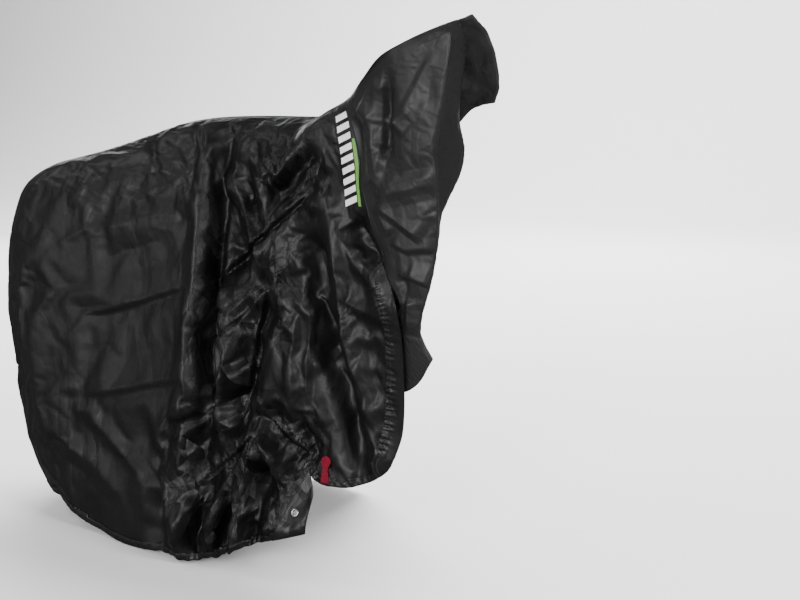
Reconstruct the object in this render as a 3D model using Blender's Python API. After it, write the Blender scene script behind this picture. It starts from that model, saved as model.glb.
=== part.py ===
"""Bicycle cover, half pulled on: two side panels, a hood over one grip, an eyelet corner and a red tab.

The cover hangs as it does over a city bicycle that is not modelled: rounded behind the rear wheel,
high over the saddle, drawn up to a ridge over the right handlebar grip, and open at the front and
below. Tables give X forward from the rear axle and the height above the floor; the part's own frame
has its origin under the cover's top at the saddle, +X forward, +Y to the bicycle's left, +Z up.
"""
import math

import bpy
import numpy as np
from mathutils import Vector
from mathutils.bvhtree import BVHTree

# ---------------------------------------------------------------- driving dimensions (metres)
SADDLE_X = 0.250          # saddle top, forward of the rear axle
SADDLE_HEIGHT = 0.930     # underside of the cover there, above the floor
CLOTH = 0.0020            # coated nylon with its seam allowance
PATCH_CLOTH = 0.0026      # doubled cloth at the reinforced corner
SEAM_GAP = 0.0003         # clearance between neighbouring pieces
BESIDE_SEAM = 0.008       # where the sides' slopes are taken to set a seam's direction
REAR_ROUND = 0.85         # length of the rounded tail, as a share of the half width there
FOLD_FADE = 0.045         # distance over which folds fade in from the top and rear lines

EYELET_X = 0.4575         # eyelet centre
EYELET_HEIGHT = 0.149
EYELET_HOLE = 0.0050      # radii of the metal eyelet
EYELET_BARREL = 0.0060
EYELET_FLANGE = 0.0088
EYELET_METAL = 0.0009
HEAD_TRIM = 0.15          # the corner's upper point stops short, as a share of one seam stitch run
PATCH_HOLE = 0.0063       # radius cut in the corner for the barrel
PATCH_FLAT = 0.0120       # radius that stays flat under the flange

TAB_X = 0.513             # red tab: middle, lower end, size
TAB_FOOT = 0.2135
TAB_WIDTH = 0.020
TAB_LENGTH = 0.055
TAB_NECK = 0.016
TAB_THICK = 0.0016

# Top line from the rear shoulder to the inner end of the grip.
TOP_LINE = [  # name, x, side (towards -Y), height, rounding radius
    ("rear shoulder", -0.335, 0.000, 0.806, 0.045),
    ("rack",          -0.177, 0.000, 0.845, 0.055),
    ("rack front",    -0.062, 0.000, 0.880, 0.060),
    ("saddle tail",    0.060, 0.000, 0.918, 0.070),
    ("saddle back",    0.140, 0.000, 0.929, 0.085),
    ("saddle top",     0.250, 0.000, 0.935, 0.085),
    ("saddle nose",    0.385, 0.010, 0.938, 0.070),
    ("before neck",    0.445, 0.060, 0.958, 0.050),
    ("neck",           0.535, 0.160, 0.990, 0.040),
    ("second rise",    0.604, 0.235, 1.033, 0.035),
    ("bar end",        0.662, 0.272, 1.078, 0.030),
    ("grip end",       0.712, 0.275, 1.103, 0.030),
    ("grip middle",    0.768, 0.240, 1.131, 0.030),
    ("grip inner end", 0.808, 0.195, 1.149, 0.030),
]
NECK_X = 0.535

# Rear centre line, from the hem up to the shoulder.
REAR_LINE = [  # name, height, x
    ("hem",        0.075, -0.330),
    ("lower tail", 0.120, -0.357),
    ("wheel",      0.240, -0.396),
    ("middle",     0.400, -0.430),
    ("fullest",    0.500, -0.434),
    ("upper tail", 0.610, -0.430),
    ("below top",  0.730, -0.404),
    ("shoulder",   0.806, -0.335),
]

# Distance of each side from the centre plane, by height, at four stations along the bicycle.
STATIONS = (-0.25, 0.20, 0.50, 0.72)
RIGHT_WALL = [  # height, at the rack, at the saddle, at the frame, at the grip
    (0.02, 0.215, 0.290, 0.292, 0.240),
    (0.12, 0.212, 0.280, 0.282, 0.228),
    (0.20, 0.205, 0.262, 0.246, 0.215),
    (0.40, 0.185, 0.225, 0.218, 0.220),
    (0.60, 0.155, 0.178, 0.208, 0.243),
    (0.75, 0.120, 0.138, 0.204, 0.262),
    (0.90, 0.075, 0.097, 0.190, 0.273),
    (1.15, 0.070, 0.090, 0.180, 0.283),
]
LEFT_WALL = [  # height, at the rack, at the saddle, at the frame, at the grip
    (0.02, 0.215, 0.280, 0.235, 0.200),
    (0.20, 0.205, 0.255, 0.205, 0.170),
    (0.40, 0.185, 0.215, 0.170, 0.130),
    (0.60, 0.155, 0.170, 0.125, 0.080),
    (0.75, 0.120, 0.130, 0.070, 0.025),
    (0.90, 0.075, 0.092, -0.015, -0.040),
    (1.00, 0.070, 0.090, -0.090, -0.075),
    (1.15, 0.070, 0.090, -0.130, -0.165),
]

# Right hem, rear centre to the eyelet corner, then past the corner to the front hem.
RIGHT_HEM = [  # name, x, height
    ("rear centre",  -0.330, 0.075),
    ("tail side",    -0.189, 0.052),
    ("wheel side",   -0.068, 0.017),
    ("axle",          0.049, 0.008),
    ("mid side",      0.128, 0.019),
    ("low point",     0.215, 0.020),
    ("rising",        0.271, 0.035),
    ("gathers",       0.357, 0.067),
    ("patch foot",    0.410, 0.085),
    ("patch head",    0.474, 0.238),
    ("beside patch",  0.487, 0.213),
    ("under tab",     0.512, 0.210),
    ("front hem",     0.557, 0.212),
    ("front rise",    0.613, 0.233),
    ("front corner",  0.658, 0.268),
]
PATCH_FOOT_ROW = 8
PATCH_HEAD_ROW = 9
PATCH_CORNER = (0.485, 0.110)
PATCH_SIDE = (0.490, 0.188)

# Front border of the right panel: seam down from the neck to the pocket, then the gathered hem.
RIGHT_FRONT = [  # name, x, height
    ("neck",          0.535, 0.990),
    ("seam upper",    0.565, 0.925),
    ("seam middle",   0.586, 0.845),
    ("pucker",        0.609, 0.786),
    ("pocket",        0.628, 0.711),
    ("pocket tip",    0.658, 0.648),
    ("hem top",       0.680, 0.595),
    ("hem upper",     0.686, 0.520),
    ("hem middle",    0.687, 0.432),
    ("hem lower",     0.684, 0.353),
    ("front corner",  0.658, 0.268),
]
POCKET_TIP_ROW = 5

# Front fold of the hood and the strip that turns in behind it.
HOOD_FOLD = [  # name, x, height
    ("grip",      0.787, 1.139),
    ("upper",     0.801, 1.105),
    ("shoulder",  0.797, 1.054),
    ("chest",     0.787, 0.986),
    ("waist",     0.769, 0.893),
    ("seam",      0.774, 0.860),
    ("hip",       0.771, 0.788),
    ("lower",     0.767, 0.738),
    ("drawn in",  0.757, 0.687),
    ("above tip", 0.748, 0.646),
    ("notch",     0.718, 0.542),
    ("tip",       0.742, 0.490),
]
HOOD_STRIP = [  # name, x, y, height
    ("on the grip",    0.797, -0.222, 1.132),
    ("under the bar",  0.783, -0.170, 1.078),
    ("upper",          0.768, -0.155, 1.015),
    ("flap line",      0.762, -0.148, 0.960),
    ("out",            0.769, -0.132, 0.889),
    ("back",           0.765, -0.145, 0.848),
    ("closing",        0.757, -0.180, 0.810),
    ("closed",         0.750, -0.212, 0.778),
    ("lower",          0.742, -0.212, 0.700),
    ("notch",          0.703, -0.198, 0.540),
    ("tip",            0.727, -0.192, 0.490),
]
HOOD_BEHIND = [  # name, x, height: the hood's edge passes beside, then behind the gathered hem
    ("pocket tip",  0.658, 0.648),
    ("beside hem",  0.674, 0.622),
    ("outside hem", 0.686, 0.596),
    ("turning in",  0.668, 0.555),
    ("hidden",      0.642, 0.500),
    ("tail",        0.640, 0.415),
]
HOOD_FOOT = [  # name, x, height
    ("hidden",   0.640, 0.415),
    ("edge",     0.681, 0.421),
    ("fold",     0.712, 0.442),
    ("tip",      0.742, 0.490),
]

# Left panel: hem, and the front edge with the flap that hangs inside the grip.
LEFT_HEM = [  # name, x, height
    ("rear centre", -0.330, 0.075),
    ("tail side",   -0.200, 0.045),
    ("wheel side",  -0.050, 0.022),
    ("axle",         0.080, 0.012),
    ("mid side",     0.220, 0.020),
    ("front foot",   0.360, 0.040),
]
LEFT_FLAP = [  # name, x, height: the loose front edge of the left side's upper corner
    ("grip inner end", 0.808, 1.149),
    ("flap top",       0.822, 1.082),
    ("flap front",     0.821, 1.028),
    ("flap corner",    0.804, 0.984),
]
LEFT_FRONT = [  # name, x, height
    ("flap corner",    0.804, 0.984),
    ("flap foot",      0.762, 0.974),
    ("behind strip",   0.722, 0.935),
    ("behind hood",    0.655, 0.845),
    ("frame",          0.590, 0.730),
    ("mid frame",      0.545, 0.600),
    ("low frame",      0.480, 0.400),
    ("chain side",     0.420, 0.200),
    ("front foot",     0.360, 0.040),
]

# Main folds of the right side and the hood: a ridge has a positive rise, a valley a negative one.
RIGHT_FOLDS = [  # name, x0, height0, x1, height1, half width, rise, bow
    ("saddle ridge top",    0.163, 0.900, 0.170, 0.560, 0.022, 0.020, 0.000),
    ("saddle ridge foot",   0.170, 0.560, 0.178, 0.200, 0.024, 0.025, 0.000),
    ("saddle valley top",   0.202, 0.890, 0.208, 0.560, 0.024, -0.033, 0.000),
    ("saddle valley foot",  0.208, 0.560, 0.215, 0.230, 0.026, -0.043, 0.000),
    ("middle hollow",       0.265, 0.780, 0.290, 0.600, 0.045, -0.033, 0.010),
    ("hollow rib",          0.200, 0.815, 0.340, 0.650, 0.018, 0.018, 0.012),
    ("long diagonal",       0.492, 0.795, 0.245, 0.570, 0.022, 0.027, -0.012),
    ("fan upper",           0.353, 0.778, 0.470, 0.880, 0.018, -0.020, 0.000),
    ("fan lower",           0.353, 0.778, 0.490, 0.835, 0.014, -0.015, 0.000),
    ("fan back",            0.353, 0.778, 0.286, 0.880, 0.018, -0.015, 0.000),
    ("front rib upper",     0.518, 0.780, 0.548, 0.530, 0.022, 0.022, 0.000),
    ("front rib lower",     0.548, 0.530, 0.626, 0.275, 0.022, 0.025, 0.008),
    ("front valley upper",  0.475, 0.700, 0.505, 0.480, 0.030, -0.037, 0.000),
    ("front valley lower",  0.510, 0.480, 0.590, 0.275, 0.026, -0.037, 0.008),
    ("teardrop",            0.458, 0.580, 0.475, 0.450, 0.018, 0.022, 0.020),
    ("skirt fold one",      0.400, 0.590, 0.365, 0.350, 0.024, 0.022, 0.000),
    ("skirt valley",        0.335, 0.560, 0.300, 0.300, 0.028, -0.033, 0.000),
    ("skirt fold two",      0.262, 0.560, 0.255, 0.330, 0.022, 0.020, 0.000),
    ("skirt fold three",    0.440, 0.440, 0.420, 0.300, 0.018, 0.018, 0.000),
    ("bundle valley",       0.385, 0.345, 0.482, 0.262, 0.022, -0.034, 0.010),
    ("bundle spine",        0.372, 0.320, 0.440, 0.190, 0.020, 0.020, -0.008),
    ("bundle rib one",      0.368, 0.310, 0.322, 0.060, 0.018, 0.025, 0.008),
    ("bundle cleft one",    0.378, 0.230, 0.362, 0.080, 0.016, -0.030, 0.000),
    ("bundle cleft two",    0.318, 0.270, 0.285, 0.080, 0.016, -0.030, 0.000),
    ("bundle rib two",      0.340, 0.300, 0.245, 0.060, 0.018, 0.022, 0.012),
    ("bundle cleft three",  0.262, 0.250, 0.212, 0.060, 0.016, -0.033, 0.010),
    ("hem pillow",          0.160, 0.170, 0.185, 0.030, 0.026, 0.027, 0.000),
    ("hem cleft",           0.112, 0.150, 0.128, 0.040, 0.016, -0.020, 0.000),
    ("tail hollow",         0.080, 0.280, -0.020, 0.160, 0.045, -0.020, 0.000),
    ("rear slope",         -0.160, 0.640, 0.080, 0.720, 0.030, 0.008, 0.010),
    ("rear crease",        -0.150, 0.500, 0.150, 0.585, 0.018, -0.008, 0.000),
    ("pocket hollow",       0.580, 0.750, 0.640, 0.672, 0.022, -0.022, 0.000),
    ("pocket lip",          0.570, 0.690, 0.640, 0.610, 0.020, 0.014, 0.008),
    ("hood rib",            0.612, 0.975, 0.628, 0.835, 0.018, 0.014, 0.000),
    ("hood hollow",         0.662, 1.010, 0.664, 0.890, 0.018, -0.016, 0.000),
    ("hood left hollow",    0.580, 0.950, 0.590, 0.850, 0.016, -0.014, 0.000),
    ("hood face",           0.720, 1.000, 0.720, 0.870, 0.040, 0.008, 0.000),
    ("hood seam roll",      0.640, 0.825, 0.770, 0.860, 0.016, 0.007, 0.000),
]
LEFT_FOLDS = [  # name, x0, height0, x1, height1, half width, rise, bow
    ("saddle ridge",    0.150, 0.860, 0.100, 0.200, 0.030, 0.014, 0.010),
    ("saddle valley",   0.220, 0.840, 0.190, 0.240, 0.034, -0.020, 0.000),
    ("frame ridge",     0.330, 0.780, 0.270, 0.140, 0.034, 0.018, 0.000),
    ("frame valley",    0.420, 0.760, 0.360, 0.200, 0.034, -0.020, 0.000),
    ("tail fold",      -0.060, 0.760, -0.120, 0.120, 0.040, 0.012, 0.000),
    ("tail valley",     0.020, 0.760, 0.000, 0.140, 0.034, -0.012, 0.000),
    ("flap fold",       0.740, 1.080, 0.790, 0.990, 0.018, 0.008, 0.000),
    ("flap valley",     0.700, 1.050, 0.740, 0.985, 0.018, -0.008, 0.000),
]
STAND_OFF = 0.013         # how far the gathered hem stands in front of the hood's tail
PLEAT_DEPTH = 0.014       # how far the cloth turns back behind the hood's front fold

# Grid counts: columns are close together only where the cloth is folded.
TAIL_COLUMNS = 5          # over the rounded tail
REAR_COLUMNS = 7          # smooth cloth between the tail and the saddle ridge
FOLD_COLUMNS = 34         # folded cloth between the saddle ridge and the front
RIDGE_COLUMNS = 15        # from the neck to the fold above the grip
FLAP_COLUMNS = 6
LEFT_EVENING = 18         # rounds of evening out on the left side's grid
STRIP_COLUMNS = 5         # across the inner strip
RIGHT_ROWS = 34
LEFT_ROWS = 20
TAIL_ROWS = 10            # hood rows below the pocket tip
TIP_SHARE = 0.62          # share of the hood's height above the pocket tip
TAIL_X = -0.20            # where the rounded tail ends on the top line and the hem
RIDGE_X = 0.13            # where the folded cloth starts


# ---------------------------------------------------------------- curves and fields
def column(table, index):
    """One numeric column of a table of rows."""
    return np.array([row[index] for row in table], float)


def smooth(stations, values, at):
    """Monotone cubic through (station, value) pairs, held level beyond both ends."""
    stations = np.asarray(stations, float)
    values = np.asarray(values, float)
    step = np.diff(stations)
    grade = np.diff(values) / step
    slope = np.zeros(len(values))
    slope[0] = grade[0]
    slope[-1] = grade[-1]
    same = grade[:-1] * grade[1:] > 0
    total = np.where(same, grade[:-1] + grade[1:], 1.0)
    slope[1:-1] = np.where(same, 2 * grade[:-1] * grade[1:] / total, 0.0)
    at = np.clip(np.asarray(at, float), stations[0], stations[-1])
    cell = np.clip(np.searchsorted(stations, at) - 1, 0, len(step) - 1)
    width = step[cell]
    t = (at - stations[cell]) / width
    low = values[cell] * (1 + 2 * t) * (1 - t) ** 2 + slope[cell] * width * t * (1 - t) ** 2
    high = values[cell + 1] * t * t * (3 - 2 * t) + slope[cell + 1] * width * t * t * (t - 1)
    return low + high


def step_up(value):
    """0 below 0, 1 above 1, and a smooth rise between."""
    value = np.clip(value, 0.0, 1.0)
    return value * value * (3 - 2 * value)


def quarter_round(value):
    """Quarter circle: 0 at 0, 1 at 1 and beyond, level where it ends."""
    value = np.clip(value, 0.0, 1.0)
    return np.sqrt(np.maximum(0.0, 1 - (1 - value) ** 2))


def along(points, shares):
    """Points on a smooth curve through the given ones, at shares of its length."""
    points = np.asarray(points, float)
    lengths = np.r_[0.0, np.cumsum(np.linalg.norm(np.diff(points, axis=0), axis=1))]
    lengths /= lengths[-1]
    return np.stack([smooth(lengths, points[:, k], shares) for k in range(points.shape[1])], axis=-1)


def share_of(points, row):
    """Share of a table curve's length at one of its rows."""
    points = np.asarray(points, float)
    lengths = np.r_[0.0, np.cumsum(np.linalg.norm(np.diff(points, axis=0), axis=1))]
    return lengths[row] / lengths[-1]


def top_height(x):
    return smooth(column(TOP_LINE, 1), column(TOP_LINE, 3), x)


def top_side(x):
    return smooth(column(TOP_LINE, 1), column(TOP_LINE, 2), x)


def top_radius(x):
    return smooth(column(TOP_LINE, 1), column(TOP_LINE, 4), x)


def rear_x(height):
    return smooth(column(REAR_LINE, 1), column(REAR_LINE, 2), height)


def wall(table, x, height):
    """Half width of one side from its table, blended smoothly between the stations."""
    widths = [smooth(column(table, 0), column(table, 1 + k), height) for k in range(len(STATIONS))]
    result = widths[0]
    for k in range(len(STATIONS) - 1):
        blend = step_up((x - STATIONS[k]) / (STATIONS[k + 1] - STATIONS[k]))
        result = result + (widths[k + 1] - widths[k]) * blend
    return result


def fold_rise(table, x, height):
    """Sum of the folds of one side at a place: each is a soft crest along a bowed line."""
    total = np.zeros(np.broadcast(x, height).shape)
    for _, x0, h0, x1, h1, half_width, rise, bow in table:
        length = math.hypot(x1 - x0, h1 - h0)
        run_x = (x1 - x0) / length
        run_h = (h1 - h0) / length
        share = ((x - x0) * run_x + (height - h0) * run_h) / length
        side = (x - x0) * -run_h + (height - h0) * run_x
        side = side - bow * 4 * share * (1 - share)
        ends = step_up(share / 0.25 + 0.6) * step_up((1 - share) / 0.25 + 0.6)
        total = total + rise * ends * np.exp(-(side / half_width) ** 2)
    return total


def rounding(x, height):
    """Shares of the full width left by the rounded top and the rounded tail."""
    top = quarter_round((top_height(x) - height) / top_radius(x))
    tail_length = REAR_ROUND * wall(RIGHT_WALL, STATIONS[0], height)
    tail = quarter_round((x - rear_x(height)) / tail_length)
    return top, tail


def fold_mask(x, height):
    """Folds fade out at the top and rear lines, where both sides meet."""
    below = step_up((top_height(x) - height - 0.006) / FOLD_FADE)
    ahead = step_up((x - rear_x(height) - 0.010) / (2 * FOLD_FADE))
    return below * ahead


def eyelet_mask(x, height):
    """The corner around the eyelet stays flat."""
    away = np.hypot(x - EYELET_X, height - EYELET_HEIGHT)
    return step_up((away - 0.025) / 0.085)


def right_y(x, height):
    """Y of the right side's middle surface."""
    top, tail = rounding(x, height)
    ridge = top_side(x)
    width = (ridge + (wall(RIGHT_WALL, x, height) - ridge) * top) * tail
    folds = fold_rise(RIGHT_FOLDS, x, height) * fold_mask(x, height) * eyelet_mask(x, height)
    hem_x = smooth(column(RIGHT_FRONT, 2)[::-1], column(RIGHT_FRONT, 1)[::-1], height)
    near_hem = step_up((x - hem_x + 0.075) / 0.060)
    tip = RIGHT_FRONT[POCKET_TIP_ROW][2]
    under_tip = step_up((tip - height) / 0.050)
    return -(width + folds + STAND_OFF * near_hem * under_tip)


def hood_y(x, height):
    """Y of the hood: the right side's surface without the gathered hem's stand-off."""
    top, tail = rounding(x, height)
    ridge = top_side(x)
    width = (ridge + (wall(RIGHT_WALL, x, height) - ridge) * top) * tail
    return -(width + fold_rise(RIGHT_FOLDS, x, height) * fold_mask(x, height))


def left_y(x, height):
    """Y of the left side's middle surface."""
    top, tail = rounding(x, height)
    ridge = -top_side(x)
    width = (ridge + (wall(LEFT_WALL, x, height) - ridge) * top) * tail
    return width + fold_rise(LEFT_FOLDS, x, height) * fold_mask(x, height)


def normals_of(surface_y, x, height, outward):
    """Unit normals of a side given as Y over (X, height); outward is -1 right, +1 left."""
    h = 0.0015
    along_x = (surface_y(x + h, height) - surface_y(x - h, height)) / (2 * h)
    along_h = (surface_y(x, height + h) - surface_y(x, height - h)) / (2 * h)
    normal = np.stack([-along_x, np.ones_like(along_x), -along_h], axis=-1) * outward
    return normal / np.linalg.norm(normal, axis=-1, keepdims=True)


# ---------------------------------------------------------------- grids
def spacing(first, second):
    """Mean of two border curves' shares of length, one value a point."""
    shares = []
    for curve in (first, second):
        lengths = np.r_[0.0, np.cumsum(np.linalg.norm(np.diff(curve, axis=0), axis=1))]
        shares.append(lengths / lengths[-1])
    return (shares[0] + shares[1]) / 2


def coons(top, bottom, left, right):
    """Blend of four border curves: rows run from top to bottom, columns from left to right."""
    t = spacing(left, right)[:, None, None]
    s = spacing(top, bottom)[None, :, None]
    ruled_down = (1 - t) * top[None] + t * bottom[None]
    ruled_across = (1 - s) * left[:, None] + s * right[:, None]
    corners = (1 - s) * (1 - t) * top[0] + s * (1 - t) * top[-1]
    corners = corners + (1 - s) * t * bottom[0] + s * t * bottom[-1]
    return ruled_down + ruled_across - corners


def relaxed(plane, rounds):
    """A grid with its border kept and its inner points evened out, so that no cell folds over."""
    plane = plane.copy()
    for _ in range(rounds):
        beside = plane[1:-1, :-2] + plane[1:-1, 2:]
        plane[1:-1, 1:-1] = (beside + plane[:-2, 1:-1] + plane[2:, 1:-1]) / 4
    return plane


def grid_normals(middle, outward):
    """Unit normals of a grid of points, mean of the cells round each; outward is the side's Y sign."""
    cells = np.cross(middle[1:, :-1] - middle[:-1, 1:], middle[1:, 1:] - middle[:-1, :-1])
    cells /= np.linalg.norm(cells, axis=-1, keepdims=True)
    around = np.pad(cells, ((1, 1), (1, 1), (0, 0)), mode="edge")
    normals = around[1:, 1:] + around[:-1, 1:] + around[1:, :-1] + around[:-1, :-1]
    normals /= np.linalg.norm(normals, axis=-1, keepdims=True)
    return normals * np.sign(np.median(normals[..., 1])) * outward


def eased(count, start_power, end_power=1.0):
    """Shares from 0 to 1, closer together at the start and, if asked, at the end."""
    share = np.linspace(0, 1, count + 1)
    share = share ** start_power
    return 1 - (1 - share) ** end_power


def to_part(points):
    """Table frame to the part's frame."""
    return points - np.array([SADDLE_X, 0.0, SADDLE_HEIGHT])


def add_object(name, points, faces, material):
    """A mesh object from points in the table frame and faces with outward order."""
    mesh = bpy.data.meshes.new(name)
    mesh.from_pydata([tuple(point) for point in to_part(np.asarray(points))], [], faces)
    mesh.validate()
    mesh.materials.append(material)
    mesh.shade_smooth()
    mesh.set_sharp_from_angle(angle=math.radians(50))
    obj = bpy.data.objects.new(name, mesh)
    bpy.context.scene.collection.objects.link(obj)
    return obj


def closed_sheet(middle, normals, thickness):
    """Points and faces of a grid given thickness, closed round its border."""
    rows, cols = middle.shape[:2]
    outer = (middle + normals * thickness / 2).reshape(-1, 3)
    inner = (middle - normals * thickness / 2).reshape(-1, 3)
    count = rows * cols
    faces = []
    falling = np.linalg.norm(middle[1:, 1:] - middle[:-1, :-1], axis=-1)
    rising = np.linalg.norm(middle[1:, :-1] - middle[:-1, 1:], axis=-1)
    for r in range(rows - 1):
        for c in range(cols - 1):
            a, b = r * cols + c, r * cols + c + 1
            below_a, below_b = a + cols, b + cols
            # Both faces are split along the same, shorter diagonal, so that they stay apart.
            if falling[r, c] < rising[r, c]:
                halves = [(a, below_a, below_b), (a, below_b, b)]
            else:
                halves = [(a, below_a, b), (below_a, below_b, b)]
            faces += halves
            faces += [tuple(count + k for k in reversed(half)) for half in halves]
    border = [r * cols for r in range(rows)]
    border += [(rows - 1) * cols + c for c in range(1, cols)]
    border += [r * cols + cols - 1 for r in range(rows - 2, -1, -1)]
    border += [c for c in range(cols - 2, 0, -1)]
    # Each rim face is split from its first outer corner, so that sewn rims match.
    for a, b in zip(border, border[1:] + border[:1]):
        if a < b:
            faces += [(b, a, count + b), (a, count + a, count + b)]
        else:
            faces += [(b, a, count + a), (b, count + a, count + b)]
    return np.vstack([outer, inner]), faces


def flipped(faces):
    return [tuple(reversed(face)) for face in faces]


def seam_frame(points, normals):
    """Normals squared to a seam line, and unit vectors across the seam."""
    run = np.gradient(points, axis=0)
    run /= np.linalg.norm(run, axis=1, keepdims=True)
    normal = normals - run * np.sum(normals * run, axis=1, keepdims=True)
    normal /= np.linalg.norm(normal, axis=1, keepdims=True)
    return normal, np.cross(normal, run)


def top_seam():
    """Points, normals and directions to the left side along the whole top line."""
    points = top_line_points(left_columns())
    x = points[:, 0]
    below = points[:, 2] - BESIDE_SEAM
    normals = normals_of(hood_y, x, below, -1) + normals_of(left_y, x, below, 1)
    normal, across = seam_frame(points, normals)
    return points, normal, across * np.sign(across[:, 1:2])


def front_seam(shares):
    """Points, normals and forward directions down the right panel's front border."""
    plane = front_border(shares)
    y = right_y(plane[:, 0], plane[:, 1])
    points = np.stack([plane[:, 0], y, plane[:, 1]], axis=-1)
    normals = normals_of(right_y, plane[:, 0], plane[:, 1], -1)
    neck = len(body_columns()) - 1
    top_points, top_normals, _ = top_seam()
    points[0] = top_points[neck]
    normals[0] = top_normals[neck]
    across = seam_frame(points, normals)[1]
    return points, normals, across * np.sign(across[:, 0:1])


def sewn_edges(middle, normals, top, side):
    """Moves a panel's top and rear borders onto their seams; side is -1 right, +1 left."""
    points, top_normal, across = top
    sewn = slice(0, len(points))
    middle[0, sewn] = points
    middle[:, 0, 1] = 0.0
    rear3 = middle[:, 0].copy()
    ahead = rear3[:, 0] + BESIDE_SEAM
    rear = normals_of(hood_y, ahead, rear3[:, 2], -1) + normals_of(left_y, ahead, rear3[:, 2], 1)
    rear_normal = seam_frame(rear3, rear)[0]
    normals[0, sewn] = top_normal
    normals[1:, 0] = rear_normal[1:]
    corner = top_normal[0] + rear_normal[0]
    normals[0, 0] = corner / np.linalg.norm(corner)
    middle[0, sewn] += across * side * SEAM_GAP / 2
    middle[1:, 0, 1] += side * SEAM_GAP / 2


def top_line_points(shares):
    """Top line from the rear shoulder forward, at shares of its length."""
    points = np.stack([column(TOP_LINE, 1), -column(TOP_LINE, 2), column(TOP_LINE, 3)], axis=-1)
    x = along(points, shares)[:, 0]
    return np.stack([x, -top_side(x), top_height(x)], axis=-1)


def share_at_x(points, x):
    """Share of a curve's length at which it reaches x."""
    shares = np.linspace(0, 1, 2001)
    return float(np.interp(x, along(points, shares)[:, 0], shares))


# ---------------------------------------------------------------- materials
def principled(name, colour, roughness, metallic=0.0, coat=0.0):
    material = bpy.data.materials.new(name)
    material.use_nodes = True
    shader = material.node_tree.nodes["Principled BSDF"]
    shader.inputs["Base Color"].default_value = (*colour, 1.0)
    shader.inputs["Roughness"].default_value = roughness
    shader.inputs["Metallic"].default_value = metallic
    shader.inputs["Coat Weight"].default_value = coat
    material.diffuse_color = (*colour, 1.0)
    return material


# ---------------------------------------------------------------- shared border curves
def plane_points(table):
    return np.stack([column(table, 1), column(table, 2)], axis=-1)


def column_shares(points, end):
    """Shares of a curve for the body's columns: tail, smooth cloth, folded cloth up to the end."""
    tail = share_at_x(points, TAIL_X)
    ridge = share_at_x(points, RIDGE_X)
    parts = [eased(TAIL_COLUMNS, 1.35) * tail,
             tail + (ridge - tail) * np.linspace(0, 1, REAR_COLUMNS + 1)[1:],
             ridge + (end - ridge) * np.linspace(0, 1, FOLD_COLUMNS + 1)[1:]]
    return np.concatenate(parts)


def body_columns():
    """Shares of the top line from shoulder to neck."""
    whole = np.stack([column(TOP_LINE, 1), -column(TOP_LINE, 2), column(TOP_LINE, 3)], axis=-1)
    return column_shares(whole, share_at_x(whole, NECK_X))


def left_columns():
    """The left side keeps the columns of both pieces that it meets on the top line."""
    ridge = ridge_columns()[1:]
    return np.r_[body_columns(), ridge, (ridge[-1] + 1) / 2, 1.0]


def ridge_columns():
    """Shares of the top line from the neck to the far edge of the inner strip."""
    whole = np.stack([column(TOP_LINE, 1), -column(TOP_LINE, 2), column(TOP_LINE, 3)], axis=-1)
    neck = share_at_x(whole, NECK_X)
    fold = share_at_x(whole, HOOD_FOLD[0][1])
    face = neck + (fold - neck) * np.linspace(0, 1, RIDGE_COLUMNS + 1)
    end = share_at_x(whole, HOOD_STRIP[0][1])
    strip = fold + (end - fold) * np.linspace(0, 1, STRIP_COLUMNS + 1)
    return np.r_[face, strip[1:]]


def row_shares(count):
    """Shares down a panel, finer near the top line."""
    return eased(count, 1.55)


def rear_line_points(shares):
    """Rear line from the shoulder down to the hem."""
    points = np.stack([column(REAR_LINE, 2), column(REAR_LINE, 1)], axis=-1)[::-1]
    return along(points, shares)


def front_border(shares):
    return along(plane_points(RIGHT_FRONT), shares)


def tip_row(shares):
    """Row of the right panel that lies nearest the pocket tip, and shares moved to meet it."""
    tip = share_of(plane_points(RIGHT_FRONT), POCKET_TIP_ROW)
    row = int(np.argmin(np.abs(shares - tip)))
    moved = np.interp(shares, [0, shares[row], 1], [0, tip, 1])
    return row, moved


# ---------------------------------------------------------------- side panels
def hem_shares():
    """Shares along the right hem, with a column on each end of the eyelet corner's seam."""
    hem = plane_points(RIGHT_HEM)
    foot = share_of(hem, PATCH_FOOT_ROW)
    head = share_of(hem, PATCH_HEAD_ROW)
    shares = column_shares(hem, 1.0)
    foot_column = int(np.argmin(np.abs(shares - foot)))
    head_column = int(np.argmin(np.abs(shares - head)))
    marks = [0, shares[foot_column], shares[head_column], 1]
    return np.interp(shares, marks, [0, foot, head, 1]), foot_column, head_column


def corner_seam():
    """Straight seam between the right panel and the eyelet corner, foot to head."""
    _, foot, head = hem_shares()
    share = np.linspace(0, 1, head - foot + 1)[:, None]
    start = np.array(RIGHT_HEM[PATCH_FOOT_ROW][1:3])
    end = np.array(RIGHT_HEM[PATCH_HEAD_ROW][1:3])
    return start + (end - start) * share


def corner_across(points, normals):
    """Directions from the right panel to the eyelet corner across their seam."""
    across = seam_frame(points, normals)[1]
    return across * np.sign(across[:, 0:1])


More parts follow.
